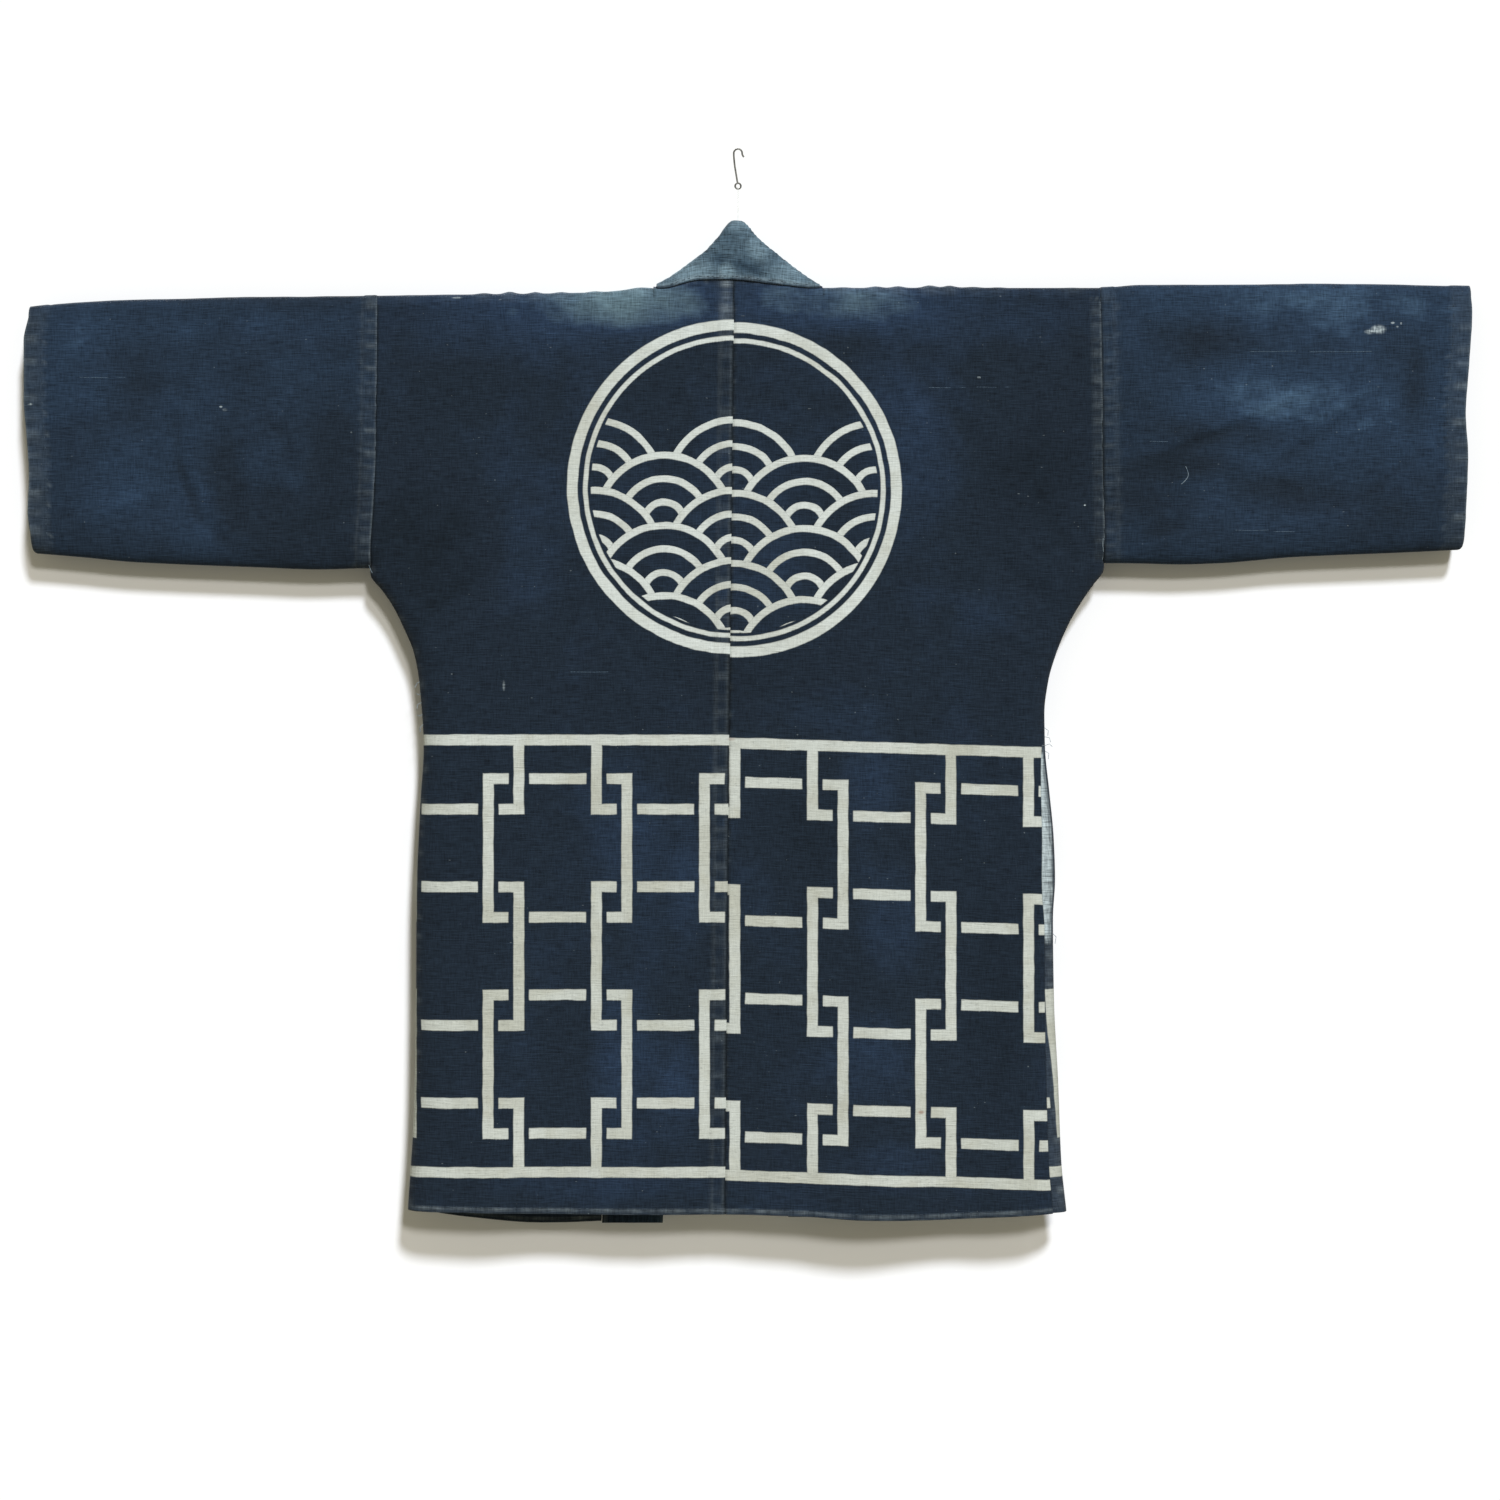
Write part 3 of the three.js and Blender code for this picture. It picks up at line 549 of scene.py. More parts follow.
def hem_band(u, v):
    inside = (v - BAND_TOP).between(SOFT, -SOFT) * (v - BAND_BOTTOM).between(-SOFT, SOFT)
    borders = line_mask(v - BAND_TOP, LINE).most(line_mask(v - BAND_BOTTOM, LINE))
    return (linked_squares(u, v) * inside).most(borders)


def wave_badge(u, v):
    """Two rings round rows of wave scales, each a nest of arcs."""
    x, y = u - BADGE_X, v - BADGE_Z
    from_centre = x.long_side(y)
    row_height = SCALE_RADIUS / 2
    row = (y / row_height).floor()
    up = y - row * row_height
    shift = (row * 0.5).fraction() * 2 * SCALE_RADIUS
    near = (x - shift).wrapped(2 * SCALE_RADIUS)
    below = (x - shift - SCALE_RADIUS).wrapped(2 * SCALE_RADIUS)
    lower = below.long_side(up + row_height)
    upper = near.long_side(up)
    covered = lower.between(SCALE_RADIUS + SOFT, SCALE_RADIUS - SOFT).over(0.5)
    radius = choose(covered, lower, upper)
    under_sky = (row - covered).over(TOP_ROW).inverse()
    in_ring = ((radius * -1 + SCALE_RADIUS) / SCALE_RING).fraction() * SCALE_RING
    inside = from_centre.between(SCALES_EDGE, SCALES_EDGE - MM)
    scales = line_mask(in_ring - SCALE_LINE / 2, SCALE_LINE) * inside * under_sky
    ring = line_mask(from_centre - BADGE_RADIUS + LINE / 2, LINE)
    thin_ring = line_mask(from_centre - THIN_RING, THIN_LINE)
    return scales.most(ring).most(thin_ring)


# %% [markdown]
# ## Indigo cotton
# Narrow hand-loomed cotton shows its weft as short level streaks with thicker slubs here and there.
# Indigo lies on the thread's surface, so it rubs off where the cloth is handled: along the shoulders
# and collar, on the crests of puckers, and in soft clouds. Each fading is a soft oval given in a table.

# %% Fadings, one by one
# A fade is its middle (x and z), half width, half height and amount. Above zero the cloth is paler,
# and below zero it kept its dye, but the collar's two lowest ovals are painted shade.
BODY_FADES = [
    (-94, -135, 76, 34, 0.84), (-130, -150, 130, 60, 0.22), (-195, -142, 65, 32, 0.18),
    (-260, -150, 120, 50, 0.16), (84, -135, 92, 38, 0.54), (150, -140, 60, 34, 0.16),
    (210, -150, 140, 40, 0.18), (0, -138, 76, 32, 0.36), (5, -300, 150, 150, 0.12),
    (155, -255, 62, 100, 0.24), (-190, -360, 70, 90, 0.1), (-280, -345, 80, 80, -0.28),
    (-250, -220, 60, 60, -0.1), (265, -300, 50, 80, -0.14), (70, -505, 75, 30, 0.14),
    (-30, -500, 40, 22, 0.08), (10, -480, 90, 40, -0.14), (120, -565, 35, 55, 0.28),
    (140, -700, 35, 60, 0.26), (60, -615, 40, 80, -0.16), (-100, -610, 40, 80, 0.22),
    (-105, -830, 35, 90, 0.34), (-55, -840, 30, 50, 0.3), (-45, -660, 22, 60, 0.24),
    (110, -810, 60, 50, 0.22), (130, -910, 50, 26, 0.22), (-240, -700, 60, 180, -0.12),
    (240, -720, 40, 140, -0.14), (-120, -930, 110, 20, 0.2),
]
LEFT_SLEEVE_FADES = [
    (-600, -190, 50, 70, 0.22), (-490, -235, 40, 60, 0.2), (-540, -300, 60, 40, 0.14),
    (-485, -330, 35, 40, 0.2), (-455, -300, 20, 60, -0.16), (-420, -330, 60, 35, -0.14),
    (-400, -160, 120, 18, 0.12), (-500, -160, 160, 30, 0.12), (-360, -285, 34, 70, -0.26),
    (-420, -210, 60, 40, 0.08), (-440, -268, 34, 45, 0.14), (-390, -352, 60, 24, -0.14),
]
RIGHT_SLEEVE_FADES = [
    (480, -136, 200, 30, 0.26), (560, -180, 130, 70, 0.1), (620, -146, 50, 40, 0.16),
    (460, -222, 90, 36, 0.26), (560, -215, 110, 55, 0.09), (600, -255, 60, 60, 0.1),
    (500, -250, 120, 45, 0.12), (440, -255, 80, 18, -0.24), (395, -285, 60, 16, -0.26),
    (425, -175, 60, 22, -0.2), (369, -226, 40, 26, -0.1), (430, -325, 70, 24, 0.08),
    (372, -318, 50, 40, -0.18), (595, -175, 30, 22, -0.14), (608, -220, 18, 45, -0.28),
    (480, -310, 50, 20, -0.18), (560, -320, 90, 34, -0.08),
]
COLLAR_FADES_AND_SHADE = [
    (-44, -112, 26, 14, 0.4), (48, -112, 28, 16, 0.26), (19, -90, 12, 18, 0.34), (-10, -111, 8, 9, 0.8),
    (2, -67, 14, 10, 0.26), (10, -108, 18, 10, -0.16), (-18, -98, 12, 12, -0.14),
    # the two ovals at -950 darken the collar's lowest ends with painted shade
    (0, -660, 400, 420, -0.3), (-110, -950, 50, 70, -0.55), (90, -950, 50, 70, -0.55),
]


def ovals(tree, place, fades, outer=1.25, inner=0.1):
    """The sum of ovals at this place on the cloth, each soft from its inner to its outer rim."""
    total = None
    for x, z, half_width, half_height, amount in fades:
        middle = (x * MM, 0, z * MM)
        stretch = (1 / (half_width * MM), 0, 1 / (half_height * MM))
        offset = add_node(tree, "VectorMath", place, middle, operation="SUBTRACT").outputs[0]
        scaled = add_node(tree, "VectorMath", offset, stretch, operation="MULTIPLY").outputs[0]
        length = add_node(tree, "VectorMath", scaled, operation="LENGTH").outputs["Value"]
        oval = Wire(length).between(outer, inner) * amount
        total = oval if total is None else total + oval
    return total


# %% The cloth's material
# The deepest colour stands both for dye kept in the cloth and for painted shade in seam lines, crease
# troughs and the collar's lowest ends.
DEEP_DYE_AND_SHADE = linear(19, 27, 34)
DYED = linear(28, 38, 49)
BLUE = linear(41, 58, 81)
PALE = linear(90, 112, 122)
RUBBED = linear(168, 180, 182)
COTTON = linear(203, 209, 203)
COTTON_STAINED = linear(180, 182, 169)
RUST = linear(136, 92, 68)
THREAD_RELIEF = 0.0006


def indigo(name, fades, tint, pattern=(), scuffs=(), rust=(), coarse=1.0, faded=(BLUE, PALE)):
    """Worn indigo cotton. tint sets how pale it is all over, and coarse how much its threads show."""
    material, tree, shader = new_material(name)
    at = object_place(tree)
    flat = attribute(tree, "flat")
    rubbed, dye_loss_and_shade, bare = parts_of(tree, attribute(tree, "wear_and_shade"))

    weft = noise_wire(tree, flat, (64, 880, 0), detail=3, roughness=0.65)
    warp = noise_wire(tree, flat, (820, 90, 0), detail=2, roughness=0.6, seed=3)
    slub = noise_wire(tree, flat, (38, 620, 0), detail=1, seed=7).between(0.66, 0.78)
    lint = noise_wire(tree, flat, (310, 420, 0), detail=0, seed=11).between(0.85, 0.90)
    grain = weft * 0.66 + warp * 0.34
    cloud = noise_wire(tree, at, (9, 3, 7), detail=4, roughness=0.6, seed=2)
    smudge = noise_wire(tree, at, (34, 10, 46), detail=3, roughness=0.6, seed=5)

    # Below zero these sums darken the cloth towards the deepest colour: kept dye, and painted shade along
    # seam lines, in crease troughs and at the collar's lowest ends. Above zero they pale it, partly with
    # painted highlight on crease crests.
    depth = (cloud - 0.5) * 0.55 + (smudge - 0.5) * 0.28 + dye_loss_and_shade + tint + ovals(tree, at, fades)
    worn = depth + (smudge - 0.5) * depth.most(0) * 0.5
    dye = blend_colours(tree, worn.least(0).between(0, -0.5), DYED, DEEP_DYE_AND_SHADE)
    dye = blend_colours(tree, (worn.most(0) / 0.6).least(1), dye, faded[0])
    dye = blend_colours(tree, ((worn - 0.45).most(0) / 0.6).least(1), dye, faded[1])
    rub = rubbed * (grain * 1.2 + 0.4)
    if scuffs:
        rub = rub + ovals(tree, at, scuffs, 1.0, 0.3) * grain.between(0.38, 0.62)
    dye = blend_colours(tree, rub.most(0).least(1), dye, RUBBED)
    threads = (grain - 0.5) * 3.4 * coarse + slub * 0.4 + 1
    dye = blend_colours(tree, 1.0, dye, tone(threads.most(0.2)), "MULTIPLY")
    dye = blend_colours(tree, lint * 0.2, dye, RUBBED)
    if pattern:
        mask = pattern_mask(tree, flat, grain, pattern) * bare.inverse()
        soiled = parts_of(tree, at)[2].between(-0.46, -0.56) * 0.42
        stain = (cloud.between(0.42, 0.66) * 0.5 + smudge.between(0.45, 0.7) * 0.35 + soiled).least(1)
        cotton = blend_colours(tree, stain, COTTON, COTTON_STAINED)
        if rust:
            cotton = blend_colours(tree, ovals(tree, at, rust, 1.0, 0.2).least(1), cotton, RUST)
        cotton = blend_colours(tree, 1.0, cotton, tone(grain + 0.5), "MULTIPLY")
        dye = blend_colours(tree, mask, dye, cotton)
    set_inputs(shader, {"Base Color": dye, "Roughness": 0.94, "Specular IOR Level": 0.12})
    set_inputs(shader, {"Sheen Weight": 0.04, "Sheen Roughness": 0.5})
    bumped(tree, shader, grain + slub * 0.35, THREAD_RELIEF)
    return material


def pattern_mask(tree, flat, grain, pattern):
    """Where the paste kept the dye off, with edges that follow the threads a little."""
    across, along, _ = parts_of(tree, flat)
    shift = (noise_wire(tree, flat, (60, 60, 0), detail=1, seed=13) - 0.5) * 0.0014
    u = across + shift
    v = along + shift + (grain - 0.5) * 0.0012
    on_front = v.over(BACK_TOP)
    height = choose(on_front, v * -1 + FRONT_TURN * MM, v)
    mask = None
    for part in pattern:
        drawn = part(u, height)
        if part is wave_badge:
            drawn = drawn * on_front.inverse()
        mask = drawn if mask is None else mask.most(drawn)
    patchy = noise_wire(tree, flat, (260, 700, 0), detail=2, seed=17).between(0.26, 0.42)
    return mask * (patchy * 0.22 + 0.78)


print("cotton", [round(c, 3) for c in COTTON[:3]])

# %% Cloth for each piece
RUST_SPOTS = [
    (175.5, -830.7, 2.2, 2.6, 0.7), (163.8, -864, 4, 2.4, 0.6), (-177.3, -909, 3.6, 3, 0.5),
    (-153, -909.9, 3, 2.8, 0.5), (112.5, -725.4, 6, 3, 0.35), (-6, -530, 5, 2.6, 0.3),
]
BODY_SCUFFS = [
    (216, -206.1, 2.2, 1.3, 0.9), (-209.7, -482.4, 1.6, 6, 0.35), (311, -320.4, 1.2, 1.2, 0.9),
    (-252, -134, 6, 1.2, 0.7),
]
RIGHT_SLEEVE_SCUFFS = [
    (574.2, -162.9, 8.5, 5.2, 1), (566, -165, 6, 3, 0.8), (587, -157, 2.2, 1.4, 0.9),
    (591, -160.5, 1.6, 1.2, 0.9), (594.5, -157.5, 1.4, 1.2, 0.8),
]
LEFT_SLEEVE_SCUFFS = [
    (-463.5, -232.2, 1.8, 1.4, 0.9), (-460, -235, 3, 1.8, 0.3), (-634.5, -230, 3, 1.2, 0.9),
]
body_cloth = indigo("indigo_body", BODY_FADES, 0.0, (hem_band, wave_badge), BODY_SCUFFS, RUST_SPOTS)
COLLAR_FADED = (linear(46, 64, 78), linear(102, 123, 134))
SLEEVE_FADED = (linear(42, 60, 81), linear(80, 106, 129))
SLEEVE_CLOTHS = {
    -1: ("indigo_sleeve_left", LEFT_SLEEVE_FADES, 0.12, (), LEFT_SLEEVE_SCUFFS),
    1: ("indigo_sleeve_right", RIGHT_SLEEVE_FADES, 0.21, (), RIGHT_SLEEVE_SCUFFS),
}
sleeve_cloths = {side: indigo(*cloth, faded=SLEEVE_FADED) for side, cloth in SLEEVE_CLOTHS.items()}
collar_cloth = indigo("indigo_collar", COLLAR_FADES_AND_SHADE, 0.74, coarse=1.35, faded=COLLAR_FADED)

# %% [markdown]
# ## The two halves of the body
# Each half is one length of cloth that starts at the back hem, goes over the rod and ends at the front
# hem. It is four grids that share their edges: the back, the short rise to the neck seam, the turn over
# the rod and the front. The right half has a fifth, the strip of front that wraps round to the back.
# Doubled cloth shows as a slight step: at the hem, at the seam allowance beside the centre seam and
# along the sides.

# %% Relief of the body
# A ripple is its x, half width and lift.
SHOULDER_RIPPLES = [
    (-89, 11, 1.4), (-129, 9, 2), (-159, 8, 2.1), (-182, 6.5, 2.5), (-205, 7, 3), (-228, 8, 1.6),
    (-262, 9, 0.7), (-296, 8, 0.6), (94, 9, 1.2), (124, 7, 1.7), (144, 7, 2.2), (172, 7.5, 2.8),
    (190, 6, 2.2), (212, 7, 0.9), (235, 8, 0.8), (300, 9, 0.8),
]
GATHER_FADE = 20
ALLOWANCE = 12.5
HEM_FOLD = 5.5
NECK_RISE = 20  # from the rod's back up to the neck seam
RIGHT_LOWER = 2.6  # the right half's pattern lies this much lower
RIGHT_DIP = 0.031  # and dips by this share of the way to the side seam
RISE_ROWS, TURN_ROWS, STRIP_COLUMNS = 11, 15, 9


def gathers(x_top, below):
    lift = sum(height * bump_at(x_top - x, half_width) for x, half_width, height in SHOULDER_RIPPLES)
    return lift * np.exp(-below / GATHER_FADE)


def step_down(d, edge, width=1.6):
    return 1 - ease((d - edge) / width + 0.5)


def folded_edge(d, fold, rise, groove):
    """Doubled cloth up to a fold, and the groove of its stitching."""
    return rise * step_down(d, fold) - groove * bump_at(d - fold, 1.6)


def seam_wear(d, s, pitch, seed, reach, amount):
    """Worn crests of the puckers that a seam gives the doubled cloth beside it."""
    crest = np.clip(0.35 + 0.8 * waver(s, pitch, seed), 0, 1) ** 2
    faint = 0.65 + 0.35 * waver(s, 7.3 * pitch, seed + 2)
    return amount * crest * faint * np.exp(-((d / reach) ** 4))


def ladder(d, s):
    """Pale rungs where the puckers beside the centre seam are rubbed."""
    return 0.26 * bump_at(d - 7, 5) * np.maximum(0.5 + 0.7 * waver(s, 11, 2.2), 0.15)


def seam_thread(d, s, seed):
    """The seam's edge, worn to a thin pale line."""
    return 0.20 * bump_at(d - 0.5, 0.9) * (0.62 + 0.38 * waver(s, 9, seed + 3))


def crease_wear_and_painted_light(creases_lift, *seam_distances):
    """Crease crests get paler, partly rubbed and partly painted highlight; troughs get darker, partly kept
    dye and partly painted shade; seam lines get painted shade.
    """
    # kept is the painted shade of the seam lines
    kept = sum(bump_at(d, 1.6) for d in seam_distances)
    return np.where(creases_lift > 0, 0.05, 0.10) * creases_lift - 0.5 * kept


def hugging(depth, above_axis):
    """A depth that stays clear of the rod."""
    clear = ROD_HUG**2 - above_axis**2
    return np.where(clear > 0, np.maximum(depth, np.sqrt(np.maximum(clear, 0))), depth)


def hem_wear(d_hem, x, seed):
    line = bump_at(d_hem - 3.4, 1.2) * (0.6 + 0.4 * waver(x, 31, seed)) * (0.8 + 0.3 * waver(x, 4, seed))
    fold = bump_at(d_hem, 1.2) * (0.6 + 0.4 * waver(x, 24, seed + 1))
    return 0.30 * np.maximum(line, 0) + 0.10 * fold


def back_details(side, x, z, x_top, d_centre, d_side, d_hem):
    """The lift of the back's surface, and how it is rubbed and dyed, with painted shade and highlight."""
    armhole = z > UNDERARM[side]
    seed = 1.0 if side < 0 else 2.4
    creases = creased(x, z, BACK_CREASES)
    lift = dented(x, z, 1.0) + creases + gathers(x_top, np.maximum(axis_of(x) - z, 0))
    lift += puckers(d_centre, z, 0.35, 13, seed, 9) - 1.7 * bump_at(d_centre, 1.3)
    lift += puckers(d_side, z, 0.45, 15, seed + 1, 14) - np.where(armhole, 0.9 * bump_at(d_side, 1.3), 0)
    lift += puckers(d_hem, x, 0.3, 11, seed + 2, 12) + folded_edge(d_hem, HEM_FOLD, 0.5, 0.35)
    if side < 0:
        lift += 0.7 * step_down(d_centre, ALLOWANCE) - 0.3 * bump_at(d_centre - ALLOWANCE - 1.5, 1.5)
        rub = seam_wear(np.abs(d_centre - 7), z, 17, seed, reach=5.5, amount=0.11)
        rub += 0.05 * bump_at(d_centre - 11.7, 1.1) + 0.05 * bump_at(d_centre - 2, 1.1)
        rub += np.where(armhole, 0, seam_wear(d_side, z, 15, seed + 1, reach=5, amount=0.12))
        rub += ladder(d_centre, z) * ease((z + 176) / 34)
    else:
        high = 0.09 + 0.10 * ease((z + 290) / 90)
        beside = seam_wear(np.abs(d_side - 4.5), z, 12, seed + 1, reach=4, amount=high)
        beside += 0.012 * step_down(d_side, 10) + seam_thread(d_side, z, seed)
        rub = seam_wear(d_centre, z, 13, seed, reach=3, amount=0.07) + np.where(armhole, beside, 0)
    rub += hem_wear(d_hem, x, seed)
    # painted shade along the centre seam and the left armhole seam, and painted highlight and shade on the
    # creases
    dye = crease_wear_and_painted_light(creases, d_centre, np.where(armhole & (side < 0), d_side, 9))
    return lift * ease(np.where(armhole, 1, d_side / 10)), columns_of(rub, dye, 0.0)


# %% Build a half
def body_half(side, name):
    right = side > 0
    edge = side_edge[side]
    front_seam = front_seam_of[side]
    neck_x = side * NECK_X

    def edge_at(z):
        return edge(z) - side * HALF_WALL

    shoulder_x = edge_at(TOP_Z)
    centre_top = centre_seam(TOP_Z) - side * OVERLAP

    def row_z(t):
        return mix(HEM_Z, TOP_Z, t)

    def from_edge(x, zr):
        across = np.abs(edge_at(zr)) - np.abs(x)
        foot = UNDERARM_ROW[side]
        return np.where(zr >= foot, np.hypot(across, np.maximum(zr - foot, 0)), across)

    def slope(x, z):
        """The right half's pattern and weft dip a little towards the side seam."""
        return (RIGHT_DIP * (x + 9) * ease((-300 - z) / 220) + RIGHT_LOWER) if right else 0 * x

    def back(x_top, t):
        zr = row_z(t)
        wrapped = right & (zr <= WRAP_TOP_Z)
        seam = edge_at(zr) - np.where(wrapped, wrap_width(zr) + STRIP_GAP, 0)
        share = (x_top - centre_top) / (shoulder_x - centre_top)
        x = mix(centre_seam(zr) - side * OVERLAP, seam, share)
        z = mix(back_hem(x), axis_of(x), t)
        hang = ROD_DEPTH + HANG_FLARE * drop(z) + back_folds(x) * fold_fade(z)
        base = hang * closing(from_edge(x, zr)) - SEAM_LAP
        distances = np.abs(x - centre_seam(zr)), np.abs(seam - x), z - back_hem(x)
        lift, wear_and_shade = back_details(side, x, z, x_top, *distances)
        depth = hugging(base + lift, axis_of(x) - z)
        return columns_of(x, -depth, z), columns_of(x, z + slope(x, z)), wear_and_shade

    def over(x_top, turn):
        """turn goes from 0 at the back of the rod to 1 at the front."""
        back_edge, front_edge = (part(x_top, np.ones(np.shape(x_top)))[0] for part in (back, front))
        x = mix(back_edge[..., 0], front_edge[..., 0], ease(turn))
        radius = mix(-back_edge[..., 1], front_edge[..., 1], turn)
        angle = math.pi * turn
        z = axis_of(x) + radius * np.sin(angle)
        v = mix(axis_of(x) + slope(x, z), FRONT_TURN - axis_of(x), turn)
        ring = columns_of(x, -radius * np.cos(angle), z)
        rub = 0.10 * np.clip(gathers(x_top, 0) / 2.5, 0, 1) * np.sin(angle)
        return ring, columns_of(x, v), columns_of(rub, 0.08 * np.sin(angle), 0.0)

    def neck_rise(x_top, turn):
        """From the back of the rod up to the neck seam."""
        x = x_top
        points = back(x_top, np.ones(np.shape(x_top)))[0]
        rise = ridge(x) - axis_of(x)
        top = np.arcsin(np.clip((neckline(x) - axis_of(x)) / rise, -1, 1))
        angle = top * turn
        from_seam = (1 - turn) * NECK_RISE
        dip = 0.9 * bump_at(from_seam, 2.2)
        depth = -points[..., 1] * np.cos(angle) - dip
        z = axis_of(x) + rise * np.sin(angle)
        rub = seam_wear(from_seam, x, 9, 3.3, reach=5, amount=0.10)
        rub += ladder(np.abs(x - centre_top), z) * (side < 0)
        # painted shade along the neck seam and the centre seam
        dye = crease_wear_and_painted_light(0 * x, 0.8 * from_seam, np.abs(x - centre_top))
        place = columns_of(points[..., 0], -depth, z)
        return place, columns_of(x, z + slope(x, z)), columns_of(rub, dye, 0.0)

    def front(x_top, t):
        zr = row_z(t)
        share = (x_top - neck_x) / (shoulder_x - neck_x)
        x = mix(front_seam(zr), edge_at(zr), share)
        z = mix(front_hem(x), axis_of(x), t)
        hang = ROD_DEPTH + 0.5 * HANG_FLARE * drop(z) + front_folds(x) * fold_fade(z)
        lap = np.where(right & (zr <= WRAP_TOP_Z), 0, SEAM_LAP)
        d_side = np.abs(edge_at(zr) - x)
        d_seam = np.abs(x - front_seam(zr))
        d_hem = z - front_hem(x)
        seed = 4.1 if right else 5.2
        creases = creased(x, z, FRONT_CREASES)
        lift = dented(x, z, 3.0) + creases
        lift += 0.7 * gathers(x_top, np.maximum(axis_of(x) - z, 0))
        lift += puckers(d_side, z, 0.4, 15, seed, 14)
        lift += 0.5 * step_down(d_hem, HEM_FOLD) + puckers(d_hem, x, 0.3, 11, seed, 12)
        lift += puckers(d_seam, z, 0.35, 12, seed + 1, 8)
        lift = lift * ease(np.where(zr > UNDERARM[side], 1, d_side / 10))
        y = hugging(hang * closing(from_edge(x, zr)) - lap + lift, axis_of(x) - z)
        rub = seam_wear(d_seam, z, 12, seed + 1, reach=4, amount=0.12) + hem_wear(d_hem, x, seed)
        rub = rub + seam_wear(d_side, z, 15, seed + 2, reach=5, amount=0.15)
        # painted shade along the seam with the collar, and painted highlight and shade on the creases
        wear_and_shade = columns_of(rub, crease_wear_and_painted_light(creases, d_seam), 0.0)
        return columns_of(x, y, z), columns_of(x, FRONT_TURN - z), wear_and_shade

    def wrap(share, t):
        zr = row_z(t)
        inward = share * wrap_width(zr)
        x = edge_at(zr) - inward
        at_edge = edge_at(zr)
        z = mix(front_hem(at_edge), axis_of(x), t)
        hang = ROD_DEPTH + HANG_FLARE * drop(z) + back_folds(x) * fold_fade(z)
        y = -hang * closing(inward)
        ragged = 3 * waver(inward * 7 + z, 23, 1.0)
        turned_out = ease((STRIP_TOP_Z + ragged - z) / 4) * ease((z - STRIP_FOOT_Z + ragged) / 4)
        frayed_and_fold_shadow = 0.80 + 0.12 * waver(z, 5, 3.0) + 0.12 * waver(z + 20 * inward, 31, 5.0)
        # the dark line about 3.4 mm in from the strip's edge is a painted shadow of a fold
        frayed_and_fold_shadow = frayed_and_fold_shadow - 0.45 * bump_at(inward - 3.4 - 1.2 * waver(z, 47, 2.0), 0.9)
        rim = bump_at(wrap_width(zr) - inward, 1.2)
        pale = turned_out * ease((inward - 1.5) / 1.5) * (frayed_and_fold_shadow + 0.5 * rim)
        rub = pale + (1 - turned_out) * (0.04 + seam_wear(np.abs(inward - 2), z, 14, 6.0, 5, 0.20))
        y = y - 0.5 * turned_out * bump_at(inward - 5, 3) * (1 + 0.5 * waver(z, 27, 4.0))
        flat = columns_of(at_edge + inward, FRONT_TURN - z)
        return columns_of(x, y, z), flat, columns_of(rub, 0.1, turned_out)

    work = bmesh.new()
    neck_columns = steps(centre_top, neck_x, BACK_PITCH, fine_start=True)
    shoulder_columns = steps(neck_x, shoulder_x, BACK_PITCH, fine_end=True)
    length = TOP_Z - HEM_Z
    rows = steps(0, length, BACK_PITCH, fine_start=True) / length
    front_rows = steps(0, length, FRONT_PITCH, fine_start=True) / length
    add_grid(work, np.concatenate([neck_columns, shoulder_columns[1:]]), rows, back)
    add_grid(work, neck_columns, np.linspace(0, 1, RISE_ROWS), neck_rise)
    add_grid(work, shoulder_columns, np.linspace(0, 1, TURN_ROWS), over)
    add_grid(work, shoulder_columns, front_rows, front)
    if right:
        wrapped_rows = front_rows[row_z(front_rows) <= WRAP_TOP_Z + 1.1 * FRONT_PITCH]
        add_grid(work, np.linspace(0, 1, STRIP_COLUMNS), wrapped_rows, wrap)
    return finished(work, name, body_cloth)


body_left = body_half(-1, "body_left_cloth")
body_right = body_half(1, "body_right_cloth")

# %% [markdown]
# ## The sleeves
# A sleeve is a folded piece with its fold on top, hung over the rod. Its bottom edges are sewn
# together, and the cuff is turned in and stitched about 18 mm from the edge. It is one grid bent into a
# flat tube.

# %% Sleeves
cuff_of = {
    -1: through(
        (-362, -634), (-340, -636.5), (-304, -635.4), (-266, -637.5), (-225, -640.4), (-165, -640.2),
        (-142, -636),
    ),
    1: through(
        (-359, 651.5), (-327, 653), (-285, 654.4), (-248, 652.4), (-200, 655.4), (-150, 658.2), (-123, 656),
    ),
}
sleeve_bottom = through(
    (-634, -362.4), (-592, -365.8), (-543, -370.4), (-423, -375.4), (-353, -378), (-331, -376.4),
    (330, -371), (346, -371.6), (392, -372.6), (433, -371.4), (501, -365.8), (597, -361.8), (652, -359.2),
)
sleeve_folds = through((0, 0), (0.25, 1.6), (0.5, -0.8), (0.75, 1.4), (1, 0.2))
CUFF_FOLD = 18
CORNER = 4.5  # radius of the cuff's lower corners
FRONT_MIRROR = -505  # the creases of the sleeve's front are those of its back, upside down


